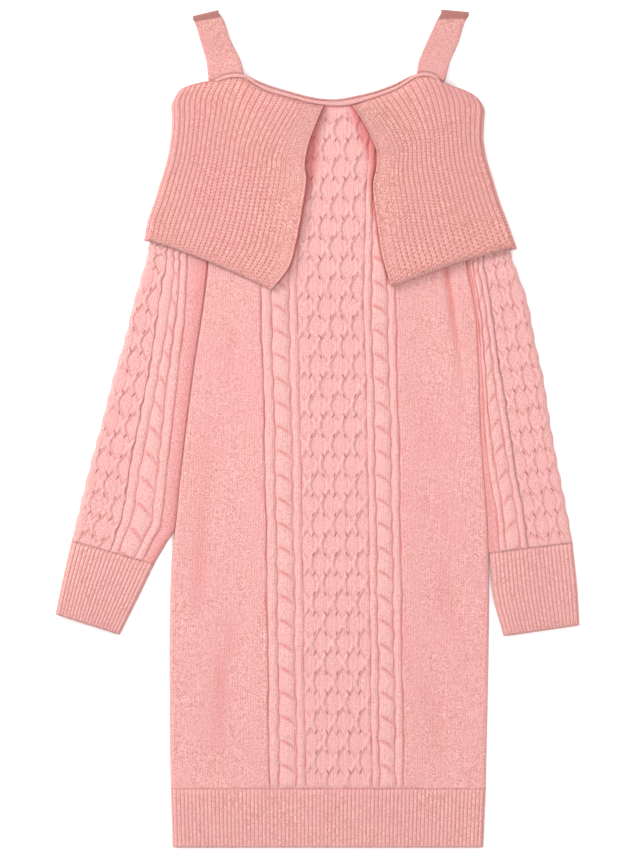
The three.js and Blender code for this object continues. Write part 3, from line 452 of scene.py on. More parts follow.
def knitMaterial(name, s):
    material = bpy.data.materials.new(name)
    material.use_nodes = True
    tree = material.node_tree
    shader = tree.nodes["Principled BSDF"]

    def sum_(kind, a, b=None, c=None):
        links, values = {}, {}
        for i, item in enumerate((a, b, c)):
            if item is None:
                continue
            (links if hasattr(item, "node") else values)[i] = item
        return addNode(tree, "ShaderNodeMath", links, values, operation=kind).outputs[0]

    def band(source, low, high, top=0.0, bottom=1.0):
        links = {"Value": source}
        values = {"From Min": low, "From Max": high, "To Min": top, "To Max": bottom}
        return addNode(tree, "ShaderNodeMapRange", links, values, clamp=True).outputs["Result"]

    def blend(factor, a, b):
        links, values = {0: factor}, {}
        for socket, item in ((6, a), (7, b)):
            (links if hasattr(item, "node") else values)[socket] = item
        node = addNode(tree, "ShaderNodeMix", data_type="RGBA")
        for socket, value in values.items():
            node.inputs[socket].default_value = value
        for socket, source in links.items():
            tree.links.new(source, node.inputs[socket])
        return node.outputs[2]

    cloth = addNode(tree, "ShaderNodeUVMap", uv_map="cloth").outputs["UV"]
    place = addNode(tree, "ShaderNodeSeparateXYZ", {0: cloth}).outputs
    space = addNode(tree, "ShaderNodeTexCoord").outputs["Object"]
    hollow, inCells, crown, warm = (
        addNode(tree, "ShaderNodeAttribute", attribute_name=mark).outputs["Fac"]
        for mark in ("hollow", "cells", "crown", "warm"))

    # one V of a stitch: two legs that lean up and out from the middle of a wale
    wale = sum_("DIVIDE", place["X"], s["wale"])
    fromMiddle = sum_("ABSOLUTE", sum_("SUBTRACT", sum_("FRACT", wale), 0.5))
    stagger = sum_("MULTIPLY", sum_("FLOOR", sum_("MULTIPLY", wale, 0.5)), s["stagger"])
    up = sum_("ADD", sum_("DIVIDE", place["Y"], s["course"]), stagger)
    course = sum_("ADD", up, sum_("MULTIPLY", fromMiddle, s["lean"]))
    inCourse = sum_("ABSOLUTE", sum_("SUBTRACT", sum_("FRACT", course), 0.5))
    leg = sum_("SUBTRACT", 1.0, sum_("POWER", sum_("MULTIPLY", inCourse, 2.0), 2.0))
    fromLeg = sum_("ABSOLUTE", sum_("SUBTRACT", sum_("MULTIPLY", fromMiddle, 4.0), 1.0))
    side = sum_("SUBTRACT", 1.0, sum_("POWER", fromLeg, 3.0))
    stitch = sum_("MULTIPLY", side, band(leg, 0.0, 1.0, 1.0 - s["coursePart"], 1.0))

    waleGap = band(fromMiddle, 0.22, 0.48)

    # brushed nap and the flecks of the dyed wool
    fibre = addNode(tree, "ShaderNodeTexNoise", {"Vector": space},
                    {"Scale": 900.0, "Detail": 3.0, "Roughness": 0.75, "Distortion": 0.8}).outputs["Fac"]
    fleck = addNode(tree, "ShaderNodeTexNoise", {"Vector": space},
                    {"Scale": s["fleckScale"], "Detail": 2.0, "Roughness": 0.6}).outputs["Fac"]
    cloud = addNode(tree, "ShaderNodeTexNoise", {"Vector": space},
                    {"Scale": 38.0, "Detail": 2.0, "Roughness": 0.5}).outputs["Fac"]
    patch = addNode(tree, "ShaderNodeTexNoise", {"Vector": space},
                    {"Scale": 11.0, "Detail": 3.0, "Roughness": 0.55}).outputs["Fac"]

    # painted shadow in the short gaps where the honeycomb's strands cross; the gaps are also sunk in the bump
    pitch = cables["cellWidth"] / 2
    strand = sum_("DIVIDE", place["X"], pitch)
    number = sum_("ROUND", strand)
    across = sum_("MULTIPLY", sum_("SUBTRACT", strand, number), pitch)
    lineUp = sum_("SUBTRACT", sum_("DIVIDE", place["Y"], cables["cellRow"]), 0.5)
    up = sum_("MULTIPLY", sum_("SUBTRACT", lineUp, sum_("ROUND", lineUp)), cables["cellRow"])
    leans = sum_("SUBTRACT", 1.0, sum_("MULTIPLY", sum_("PINGPONG", number, 1.0), 2.0))
    leaning = sum_("MULTIPLY", sum_("MULTIPLY", up, 0.4), leans)
    gapAcross = sum_("ABSOLUTE", sum_("SUBTRACT", across, leaning))
    gapAlong = band(sum_("ABSOLUTE", up), 1.2, 3.4, 1.0, 0.0)
    inGap = sum_("MULTIPLY", band(gapAcross, 0.3, 1.3, 1.0, 0.0), gapAlong)
    gap = sum_("MULTIPLY", inGap, inCells)
    gap = sum_("MULTIPLY", gap, band(fleck, 0.35, 0.6, 0.55, 1.0))

    # colour
    yarn = blend(band(fleck, 0.36, 0.66), linearColour(s["shade"]), linearColour(s["tint"]))
    body = blend(band(cloud, 0.35, 0.68, 0.0, 0.5), yarn, linearColour(s["colour"]))
    dyed = blend(band(patch, 0.4, 0.65, 0.0, s["patches"]), body, linearColour(s["cool"]))
    # painted highlight: raised cable strands and bands are lightened towards the fuzz colour
    crownHighlighted = blend(sum_("MULTIPLY", crown, s["crownTint"]), dyed, linearColour(s["fuzz"]))
    # painted reddish shade in the creases, beside the collar's free edges and on the sleeves' inner strips
    redShaded = blend(warm, crownHighlighted, linearColour(s["glow"]))
    worn = blend(band(fibre, 0.5, 0.72, 0.0, 0.4), redShaded, linearColour(s["fuzz"]))
    between = sum_("ADD", sum_("MULTIPLY", sum_("SUBTRACT", 1.0, stitch), s["stitchShade"]),
                   sum_("MULTIPLY", waleGap, s["waleShade"]))
    knitted = blend(between, worn, linearColour(s["deep"]))
    # painted shade in the hollows, broken into dots at each course and by the flecks
    notches = sum_("MULTIPLY", sum_("SUBTRACT", 0.5, leg), s["notch"])
    ragged = sum_("MULTIPLY", sum_("SUBTRACT", fleck, 0.5), s["ragged"])
    uneven = sum_("MULTIPLY", sum_("ADD", notches, ragged), band(hollow, 0.02, 0.3))
    deep = sum_("MULTIPLY", band(sum_("ADD", hollow, uneven), 0.08, 0.85), s["hollowShade"])
    shaded = blend(deep, knitted, linearColour(s["deep"]))
    # painted shadow in the strands' crossings
    sunk = blend(sum_("MULTIPLY", gap, 0.9), shaded, linearColour(s["pit"]))
    tree.links.new(sunk, shader.inputs["Base Color"])

    # relief
    stitchRelief = sum_("MULTIPLY", stitch, s["stitchHeight"])
    nap = sum_("MULTIPLY", fibre, s["napHeight"])
    sunkWale = sum_("MULTIPLY", waleGap, s["waleShade"])
    height = sum_("SUBTRACT", sum_("ADD", stitchRelief, nap), sum_("ADD", gap, sunkWale))
    bump = addNode(tree, "ShaderNodeBump", {"Height": height},
                   {"Strength": s["bump"], "Distance": 1.0 * mm})
    tree.links.new(bump.outputs["Normal"], shader.inputs["Normal"])
    shader.inputs["Roughness"].default_value = 0.95
    shader.inputs["Specular IOR Level"].default_value = 0.15
    shader.inputs["Sheen Weight"].default_value = s["sheen"]
    shader.inputs["Sheen Roughness"].default_value = 0.55
    shader.inputs["Sheen Tint"].default_value = linearColour(s["fuzz"])
    return material


# One dyed wool; what changes the look is how it was knitted
yarn = {
    # the deep colour is painted shade for hollows, the pit colour painted shadow in the strands' crossings, the red
    # shade colour painted reddish shade, and the fuzz colour also the painted highlight on raised strands
    "colour": "#d9a3a1", "tint": "#edbfbc", "shade": "#c0807d", "fuzz": "#edd0cd", "deep": "#bf5850",
    "pit": "#9c3d35", "glow": "#c4686a", "cool": "#d99aa2", "patches": 0.3, "crownTint": 0.22,
    "stagger": 0.0,
    "wale": 2.75, "course": 2.1, "lean": 1.1, "fleckScale": 650.0, "stitchHeight": 0.5, "napHeight": 0.7,
    "coursePart": 0.5, "stitchShade": 0.2, "waleShade": 0.14, "notch": 0.45, "ragged": 2.8,
    "hollowShade": 0.85, "bump": 0.9, "sheen": 0.2,
}
# small V stitches with a brushed nap: soft, matt and a little mottled
brushedStockinette = knitMaterial("brushed wool stockinette, machine knitted", yarn)
# narrow ribs knitted tighter, with a deeper painted shade in their valleys
closeRib = knitMaterial("wool single rib, machine knitted", {
    **yarn, "colour": "#dea8a4", "tint": "#f1c1bc", "shade": "#c68580", "deep": "#a8524a",
    "wale": 2.2, "course": 1.9, "hollowShade": 0.6, "waleShade": 0.08,
})
# thick fisherman's rib: coarse stitches and dotted valleys
thickRib = knitMaterial("thick wool rib, folded collar", {
    **yarn, "colour": "#d39f99", "tint": "#f0bfb8", "shade": "#ba746c", "deep": "#a34c41",
    "course": 2.7, "coursePart": 0.6, "waleShade": 0.18, "notch": 1.6, "stitchHeight": 0.6,
    "stagger": 0.37,
})
# firm double knit, with a band of painted shade on the folded tops
closeKnit = knitMaterial("close double knit straps", {
    **yarn, "colour": "#d09590", "tint": "#e8afa9", "shade": "#b97d77", "deep": "#97625c",
    "wale": 2.2, "course": 1.8, "coursePart": 0.2, "stitchShade": 0.12, "waleShade": 0.12,
})
print("yarns mixed")


# Collar: one ribbed strip from free edge to free edge round the back

collarPiece = {
    "thickness": 1.9, "rows": 46, "rise": 0.36, "rib": 5.5, "perRib": 6, "perRibBack": 4, "sideRound": 7.0,
    "backRibs": 58, "sideRibs": 3, "backDip": 14.0, "topDip": 2.4, "bow": 3.0, "bead": 0.7, "gather": 0.1,
    "length": 165.0, "flapWidth": 145.0, "underBinding": 4.8, "highestBack": 366.0,
    # side fold x, y and free edge x, y, from the lower edge to the neck
    "left": [
        (-186.0, 202.1, -48.4, 149.4), (-181.7, 224.7, -30.1, 173.1), (-174.2, 246.2, -22.6, 198.9),
        (-167.7, 267.7, -16.1, 233.3), (-161.2, 289.2, -11.3, 265.5), (-157.5, 310.7, -12.9, 284.9),
        (-155.9, 332.2, -8.6, 306.4), (-156.4, 347.2, -1.6, 325.7), (-149.4, 361.2, 7.5, 347.6),
    ],
    "right": [
        (215.0, 193.5, 79.5, 151.6), (203.7, 224.7, 69.9, 186.0), (195.7, 246.2, 65.6, 213.9),
        (189.2, 267.7, 61.8, 240.8), (182.8, 289.2, 60.2, 263.4), (179.0, 310.7, 65.0, 291.3),
        (179.5, 332.2, 57.0, 315.0), (180.1, 347.2, 46.2, 334.3), (174.2, 361.2, 37.6, 347.8),
    ],
    "shoulders": [
        (-156.4, 350.5), (-152.6, 358.5), (-147.3, 363.9), (-139.8, 367.6), (-128.5, 371.2),
        (-113.4, 373.6), (134.4, 372.6), (144.3, 368.6), (157.8, 363.9), (168.5, 358.6),
        (176.5, 351.6), (180.1, 345.6),
    ],
}


# Front of the body

frontPiece = {
    "thickness": 1.6, "rows": 350, "edgeRound": 5.0, "foldDepth": 1.6, "foldHalf": 7.0,
    "shoulder": 0.8, "shoulderReach": 34.0, "belowNeck": 1.5, "sideHeight": 2.65, "creaseGlow": 0.34,
    "grooveShades": [0.85, 0.7, 0.65, 0.6, 0.6, 0.65, 0.7, 0.85],
    "seamShadeFrom": -60.0, "foldShadeHalf": 3.4,
    # painted reddish shade in the opening beside the collar's free edges: y, reach
    "shadeLeft": [(155, 1), (200, 2.5), (245, 3.5), (266, 8), (286, 13.5), (303, 12), (320, 6), (346, 3)],
    "shadeRight": [(150, 1), (185, 2), (255, 4), (282, 9), (304, 14), (326, 11), (346, 4)],
    # kind, from, to, turn of the rope, segments
    "cables": [
        ("ridge", -74.7, -63.6, 1, 8), ("rope", -63.6, -45.1, -1, 14), ("ridge", -45.1, -35.7, 1, 7),
        ("honeycomb", -35.7, 35.7, 1, 44),
        ("ridge", 35.7, 44.0, 1, 7), ("rope", 44.0, 61.2, -1, 14), ("ridge", 61.2, 70.1, 1, 8),
    ],
    # soft troughs: from x, y to x, y, depth, half width
    "creases": [
        (-91.0, -200.0, -107.0, -292.0, 0.9, 6.5),
        (-105.0, -255.0, -111.0, -386.0, 0.9, 6.5),
        (-125.0, -60.0, -129.0, -212.0, 0.8, 7.5),
        (-118.0, 20.0, -128.0, -110.0, 0.5, 12.0),
        (128.0, -120.0, 150.0, -235.0, 0.6, 10.0),
        (112.0, -70.0, 160.0, -128.0, 0.45, 8.0),
        (118.0, -260.0, 134.0, -372.0, 0.6, 8.0),
        (106.0, 60.0, 128.0, -40.0, 0.4, 10.0),
        (-92.0, 130.0, -96.0, 40.0, 0.4, 9.0),
    ],
}


def creased(x, y, creases):
    drop = 0.0
    for x0, y0, x1, y1, depth, half in creases:
        dx, dy = x1 - x0, y1 - y0
        along = ((x - x0) * dx + (y - y0) * dy) / (dx * dx + dy * dy)
        if 0 < along < 1:
            off = math.hypot(x - x0 - along * dx, y - y0 - along * dy)
            drop += depth * bell(off, half) * math.sin(math.pi * along) ** 0.8
    return drop


def wobble(y, i):
    # grooves waver, most of all beside the ropes, whose turns push them out
    turns = 0.6 if i % 4 in (1, 2) else 0.25
    pushed = turns * math.sin(2 * math.pi * y / cables["ropeTwist"] + 1.9 * i)
    return pushed + 0.45 * math.sin(y / 23 + 1.3 * i) + 0.3 * math.sin(y / 9.1 + 2.1 * i)


def grooveDepth(y, i):
    return 0.76 + 0.24 * math.sin(y / 37 + 1.7 * i) * math.sin(y / 11 + 0.9 * i)


def grooveHalf(y, i):
    return 0.95 + 0.3 * math.sin(y / 7.7 + 2.3 * i) * math.sin(y / 31 + 1.1 * i)


def makeFront(s):
    bands = [(4, True), (8, False), (3, False), *[(c[4], c[0] != "honeycomb") for c in s["cables"]],
             (3, False), (5, False), (6, False), (3, False), (4, True)]
    table = spreadColumns(bands)
    firstCable, lastCable = 3, 2 + len(s["cables"])
    phase = cables["cellRow"] / 2 - cables["cellRowAt"]
    neck = lambda x: frontNeck(x) - s["belowNeck"]
    underFlaps = [(curveThrough(collarPiece[flap], 3, 2), curveThrough(s[reach], 0, 1))
                  for flap, reach in (("left", "shadeLeft"), ("right", "shadeRight"))]

    @lru_cache(maxsize=None)
    def groovesAt(y):
        edges = [*[c[1] for c in s["cables"]], s["cables"][-1][2]]
        return [cableAxis(y) + edge + wobble(y, i) for i, edge in enumerate(edges)]

    def across(band, f, y):
        left, right, fold = bodyLeft(y), bodyRight(y), foldX(y)
        grooves = groovesAt(y)
        stops = [left, left + 6, grooves[0] - 3, *grooves, grooves[-1] + 3,
                 fold - 14, fold + 8, right - 5, right]
        return mix(stops[band], stops[band + 1], f)

    def place(column, t):
        band, f = table[column]
        row = mix(layers["footY"], layers["neckY"], t)
        y = bentRow(row, across(band, f, row), neck)
        x = across(band, f, y)
        hollow, height, cells, warm = 0.0, 0.0, 0.0, 0.0
        if firstCable <= band <= lastCable:
            kind, _, _, turn, _ = s["cables"][band - firstCable]
            u = 2 * f - 1
            at = (u * 1.5 * cables["cellWidth"], row + phase) if kind == "honeycomb" else (u, row)
            height, hollow = raised(kind, *at, turn)
            cells = 1.0 if kind == "honeycomb" and abs(u) < 0.93 else 0.0
        shown = smooth((row - layers["footY"]) / 6) * smooth((layers["neckY"] - 3 - row) / 7)
        # the raised cable bands get the painted highlight
        crown = (0.55 + 0.45 * height) * shown if firstCable <= band <= lastCable else 0.0
        axis = cableAxis(y)
        grooves = groovesAt(y)
        away = max(grooves[0] - x, x - grooves[-1])
        if away > 0:
            height = s["shoulder"] * smooth(1 - away / s["shoulderReach"])
        for i, groove in enumerate(grooves):
            inGroove = bell(x - groove, grooveHalf(y, i)) * grooveDepth(y, i)
            height -= (height + cables["groove"] / cables["rise"]) * inGroove
            hollow = max(hollow, inGroove * s["grooveShades"][i])
        fold = (x - foldX(y)) / s["foldHalf"]
        fades = smooth((row + 10) / 90)
        drop = s["foldDepth"] * fades * (bell(fold, 0.55) - 0.2 * bell(fold - 1.1, 0.8))
        foldShade = mix(0.25, 0.7, smooth((y - 60) / 100)) * fades
        hollow = max(hollow, foldShade * bell(x - foldX(y), s["foldShadeHalf"]))
        edge = min(x - bodyLeft(y), bodyRight(y) - x)
        inner = clamp(edge / mix(s["edgeRound"], 2.5, smooth((y + 130) / 60)))
        outside = layers["frontInside"] + layers["bodyWall"]
        rounded = s["sideHeight"] + (outside - s["sideHeight"]) * math.sqrt(1 - (1 - inner) ** 2)
        crease = creased(x, y, s["creases"])
        # painted reddish shade in the creases
        warm = s["creaseGlow"] * crease
        z = lift(row) + rounded + height * cables["rise"] * shown - drop - crease
        hollow *= shown
        # painted shade beside the collar's free edges, reddish where the flaps shade the front, and a darker line
        # along the neck seam
        if y > s["shadeLeft"][0][0]:
            for free, reach in underFlaps:
                warm = max(warm, 0.8 * math.exp(-((x - free(y)) / reach(y)) ** 4))
                hollow = max(hollow, 0.6 * bell(x - free(y), 2.2))
            hollow = max(hollow, 0.6 * bell(y - frontNeck(x) + 4.5, 1.3))
        if y > s["seamShadeFrom"]:
            hollow = max(hollow, 0.4 * bell(edge, 1.2) * smooth((y - s["seamShadeFrom"]) / 60))
        return {"at": (x, y, z), "cloth": (x - axis, row + phase), "hollow": hollow, "cells": cells * shown,
                "crown": crown, "warm": warm}

    piece = knitPiece("frontPanel", len(table) - 1, s["rows"], place, s)
    dress(piece, "front_panel", "body_knit", brushedStockinette,
          {"flat": (0.345, 0.772), "restsOn": ["back_panel"], "area": 0.245})


makeFront(frontPiece)


# Back of the body, plain

backPiece = {
    "thickness": 1.6, "columns": 90, "rows": 170, "faces": -1, "edgeRound": 5.0, "edgeLift": 2.6,
    "crowding": 0.01, "belowNeck": 3.1,
}


def makeBack(s):
    neck = lambda x: backNeck(x) - s["belowNeck"]

    def place(column, t):
        even = column / s["columns"]
        share = even - s["crowding"] * math.sin(2 * math.pi * even)
        row = mix(layers["footY"], layers["neckY"], t)
        xAt = lambda y: mix(bodyLeft(y), bodyRight(y), share)
        y = bentRow(row, xAt(row), neck)
        x = xAt(y)
        inner = clamp(min(x - bodyLeft(y), bodyRight(y) - x) / s["edgeRound"])
        z = lift(row) + s["edgeLift"] * (1 - math.sqrt(1 - (1 - inner) ** 2))
        return {"at": (x, y, z), "cloth": (x, row)}

    piece = knitPiece("backPanel", s["columns"], s["rows"], place, s)
    dress(piece, "back_panel", "body_knit", brushedStockinette,
          {"flat": (0.345, 0.77), "restsOn": ["collar"], "area": 0.245})


makeBack(backPiece)


# Flattened tubes: sleeves, cuffs and hem

def tubeHeight(near, total, front, reach=5.0):
    inner = clamp(near / reach)
    half = total / 2 * math.sqrt(1 - (1 - inner) ** 2)
    return total / 2 + (half if front else -half)


sleevePiece = {
    "thickness": 1.4, "rows": 210, "innerShade": 0.48, "scallop": 0.55, "cellShade": 1.35,
    "grooveShades": [0.5, 0.65, 0.7, 0.95], "grooveDepths": [0.6, 0.9, 0.9, 1.0],
    "sway": 0.7, "coveredFrom": 390.0, "underBody": 0.6,
    # outer x, outer y, inner x, inner y, then the grooves a to d as shares of the width
    "left": [
        (-264.4, -120.4, -175.2, -145.7, 0.472, 0.56, 0.765, 0.862),
        (-253.7, -76.3, -154.8, -106.4, 0.45, 0.552, 0.755, 0.855),
        (-242.9, -33.3, -148.9, -61.3, 0.437, 0.548, 0.743, 0.842),
        (-231.1, 9.7, -144.0, -16.1, 0.436, 0.55, 0.72, 0.835),
        (-220.4, 52.7, -138.7, 27.9, 0.434, 0.556, 0.698, 0.825),
        (-207.5, 95.7, -132.8, 73.1, 0.41, 0.548, 0.67, 0.79),
        (-196.7, 138.7, -124.7, 117.2, 0.371, 0.535, 0.632, 0.755),
        (-183.8, 181.7, -118.8, 162.3, 0.33, 0.46, 0.56, 0.68),
        (-179.5, 203.2, -117.2, 186.0, 0.3, 0.42, 0.52, 0.65),
        (-168.2, 246.2, -115.6, 231.1, 0.3, 0.42, 0.52, 0.65),
        (-154.8, 289.2, -113.4, 278.4, 0.3, 0.42, 0.52, 0.65),
        (-150.0, 332.2, -112.3, 325.7, 0.3, 0.42, 0.52, 0.65),
        (-144.0, 355.8, -112.3, 364.4, 0.3, 0.42, 0.52, 0.65),
    ],
    "right": [
        (275.2, -122.5, 185.2, -133.8, 0.53, 0.61, 0.79, 0.87),
        (266.6, -76.3, 183.3, -90.3, 0.545, 0.63, 0.8, 0.885),
        (258.0, -33.3, 180.1, -47.3, 0.58, 0.66, 0.83, 0.92),
        (250.5, 9.7, 177.4, -3.2, 0.6, 0.69, 0.86, 0.94),
        (244.0, 52.7, 176.0, 40.9, 0.64, 0.74, 0.89, 0.95),
        (234.3, 95.7, 174.7, 83.8, 0.68, 0.78, 0.9, 0.955),
        (225.8, 138.7, 170.9, 126.8, 0.7, 0.8, 0.9, 0.955),
        (210.2, 181.7, 163.9, 168.8, 0.64, 0.75, 0.87, 0.94),
        (206.4, 198.9, 160.2, 188.1, 0.6, 0.72, 0.85, 0.93),
        (189.7, 246.2, 152.1, 233.3, 0.6, 0.72, 0.84, 0.92),
        (176.8, 289.2, 144.6, 278.4, 0.6, 0.72, 0.84, 0.92),
        (173.6, 332.2, 137.6, 324.6, 0.6, 0.72, 0.84, 0.92),
        (169.3, 355.8, 134.4, 363.3, 0.6, 0.72, 0.84, 0.92),
    ],
    # bands across the front: segments, crowded at the grooves
    "bands": [(6, True), (26, False), (8, True), (14, True), (8, True), (3, False), (4, False), (5, True)],
    "underBands": [(5, True), (18, False), (5, True)],
}


def makeSleeve(name, node, rows, bodySide, s):
    read = curvesAlong(rows)
    front, under = spreadColumns(s["bands"])[:-1], spreadColumns(s["underBands"])[:-1]
    total = len(front) + len(under)
    ends = [read(i / 40) for i in range(41)]
    length = sum(math.hypot(q[0] - p[0] + q[2] - p[2], q[1] - p[1] + q[3] - p[3]) / 2
                 for p, q in zip(ends, ends[1:]))

    def place(column, t):
        ox, oy, ix, iy, a, b, c, d = read(t)
        # where the sleeve meets the body its edge is pressed in just under the body's
        bodyEdge = bodyLeft(iy) if bodySide < 0 else bodyRight(iy)
        gap = max(0.5, (ix - bodyEdge) * bodySide)
        pressed = smooth((6 - gap) / 5)
        ix = bodyEdge + bodySide * mix(gap, -s["underBody"], pressed)
        v = t * length
        ox += bodySide * s["scallop"] * math.cos(2 * math.pi * v / cables["cellRow"]) * smooth(v / 20)
        width = math.hypot(ix - ox, iy - oy)
        column = column % total
        height, hollow, cells, crown, warm = 0.0, 0.0, 0.0, 0.0, 0.0
        onFront = column < len(front)
        if onFront:
            band, f = front[column]
            grooves = [g * width + s["sway"] * wobble(v, i) for i, g in enumerate((a, b, c, d))]
            pastD = min(grooves[3] + 3, mix(grooves[3], width, 0.4))
            stops = [0, 5, *grooves, pastD, max(pastD + 1, width - 5), width]
            distance = mix(stops[band], stops[band + 1], f)
            fromA = grooves[0] - distance
            u = distance - grooves[0]
            if band <= 1:
                shift = cables["cellWidth"] * 1.5
                height, hollow = honeycomb(fromA - shift, v)
                u = shift - fromA
                fade = smooth(distance / 7)
                height, hollow = height * fade, hollow * fade * s["cellShade"]
                cells = 1.0 if distance > 4 and fromA > 3 else 0.0
            elif band == 3:
                height, hollow = ropeTwist(2 * f - 1, v, -1)
            elif band in (2, 4):
                height = ridgeTop(2 * f - 1)
            # the raised cable bands get the painted highlight
            crown = 0.55 + 0.45 * height if band < 5 else 0.0
            for i, groove in enumerate(grooves):
                inGroove = bell(distance - groove, grooveHalf(v, i)) * grooveDepth(v, i)
                depth = inGroove * s["grooveDepths"][i]
                height -= (height + cables["groove"] / cables["sleeveRise"]) * depth
                hollow = max(hollow, s["grooveShades"][i] * inGroove)
            if band >= 5:
                # painted reddish shade on the inner strip, growing towards the body, and painted shade along the edge
                # that tucks under the body
                toBody = smooth((distance - d * width) / (width - d * width))
                warm = s["innerShade"] * toBody
                hollow = max(hollow, 0.85 * bell(width - distance, 1.9) * smooth((v - 220) / 110))
        else:
            band, f = under[column - len(front)]
            stops = [width, width - 5, 5, 0]
            distance = mix(stops[band], stops[band + 1], f)
            u = 2 * width - distance
        shown = smooth((s["coveredFrom"] - v) / 14) * smooth(0.4 + v / 5)
        share = distance / width
        y = mix(oy, iy, share)
        besideBody = distance > width / 2 and onFront
        reach = mix(5.0, 2.0, smooth((v - 70) / 40)) if besideBody else 5.0
        z = lift(y) + tubeHeight(min(distance, width - distance), layers["sleeveHeight"], onFront, reach)
        z += height * cables["sleeveRise"] * shown
        return {"at": (mix(ox, ix, share), y, z), "cloth": (u, v), "hollow": hollow * shown,
                "cells": cells * shown, "crown": crown * shown, "warm": warm}

    piece = knitPiece(name, total, s["rows"], place, s, ring=True)
    dress(piece, node, "sleeve_knit", brushedStockinette,
          {"flat": (0.2, 0.52), "restsOn": ["collar"], "area": 0.075})


makeSleeve("sleeveLeft", "sleeve_left", sleevePiece["left"], -1, sleevePiece)
makeSleeve("sleeveRight", "sleeve_right", sleevePiece["right"], 1, sleevePiece)

ribPiece = {
    "thickness": 1.6, "rise": 0.42, "rows": 24, "perRib": 6, "perRibUnder": 4, "flat": 0.4,
    "seamDip": 0.9, "hollow": 0.88,
    "hemRib": 4.2, "cuffRib": 4.35,
    "hem": [(-155.6, -450.2, 179.0, -450.2), (-157.5, -387.4, 181.7, -387.4)],
    "cuffLeft": [
        (-281.6, -199.4, -212.3, -221.4), (-273.6, -160.2, -194.6, -186.0),
        (-264.4, -120.4, -175.2, -145.7),
    ],
    "cuffRight": [
        (282.7, -211.2, 200.8, -223.1), (280.0, -167.7, 189.7, -180.6),
        (275.2, -122.5, 185.3, -133.8),
    ],
}


def ribProfile(position, flat=0.6):
    # 1 on top of a rib, 0 in the valley between two
    return abs(math.cos(math.pi * position)) ** flat


def makeRibTube(name, node, rows, rib, cut, s):
    read = curvesAlong(rows)
    top = read(1.0)
    fullWidth = math.hypot(top[2] - top[0], top[3] - top[1])
    ribs = round(fullWidth / rib)
    frontColumns, underColumns = ribs * s["perRib"], ribs * s["perRibUnder"]
    total = frontColumns + underColumns
    ends = [read(i / 10) for i in range(11)]
    length = sum(math.hypot(q[0] - p[0] + q[2] - p[2], q[1] - p[1] + q[3] - p[3]) / 2
                 for p, q in zip(ends, ends[1:]))

    def place(column, t):
        ox, oy, ix, iy = read(t)
        width = math.hypot(ix - ox, iy - oy)
        column = column % total
        onFront = column < frontColumns
        share = column / frontColumns if onFront else 1 - (column - frontColumns) / underColumns
        distance = share * width
        near = min(distance, width - distance)
        profile = ribProfile(share * ribs, s["flat"])
        edge = smooth((length * t) / 2.5)
        rise = s["rise"] * (2 * profile - 1) * edge * smooth(near / 3)
        atSeam = s["seamDip"] * smooth(1 - length * (1 - t) / 4)
        height = tubeHeight(near, layers["ribHeight"], onFront) + (rise - atSeam if onFront else 0.0)
        y = mix(oy, iy, share)
        u = share * ribs * rib if onFront else -share * ribs * rib
        # painted shade in the rib valleys
        return {"at": (mix(ox, ix, share), y, height), "cloth": (u, t * length),
                "hollow": s["hollow"] * (1 - profile) ** 1.7 * edge}

    piece = knitPiece(name, total, s["rows"], place, s, ring=True)
    dress(piece, node, "rib_knit", closeRib, cut)


makeRibTube("hemRib", "hem_rib", ribPiece["hem"], ribPiece["hemRib"],
            {"flat": (0.68, 0.063), "restsOn": []}, ribPiece)
makeRibTube("cuffLeft", "cuff_left", ribPiece["cuffLeft"], ribPiece["cuffRib"],
            {"flat": (0.18, 0.085), "restsOn": []}, ribPiece)
makeRibTube("cuffRight", "cuff_right", ribPiece["cuffRight"], ribPiece["cuffRib"],
            {"flat": (0.18, 0.09), "restsOn": []}, ribPiece)


def flapPatch(rows, s):
    read = curvesAlong(rows)
    sign = 1 if rows[0][2] > rows[0][0] else -1
    shoulder = curveThrough(s["shoulders"], 0, 1)
    high = read(1.0)

    @lru_cache(maxsize=None)
    def topRise(share, bulge):
        topX = mix(high[0], high[2], share) + sign * bulge * (1 - share)
        inside = min(topX - frontNeckRows[0][0], frontNeckRows[-1][0] - topX)
        under = s["underBinding"] * smooth(inside / 12)
        top = frontNeck(topX) - under if inside > 0 else shoulder(topX)
        return mix(top, high[3], smooth((share - 0.9) / 0.1)) - mix(high[1], high[3], share)

    def spot(share, t, bulge):
        sideX, sideY, freeX, freeY = read(t)
        rises = t + (t ** 4 - t) * (1 - share) ** 4
        y = mix(sideY, freeY, share) + topRise(share, bulge) * rises
        y += s["bow"] * math.sin(math.pi * share) * (1 - t)
        return mix(sideX, freeX, share) + sign * bulge * (1 - share), y, sign

    return spot


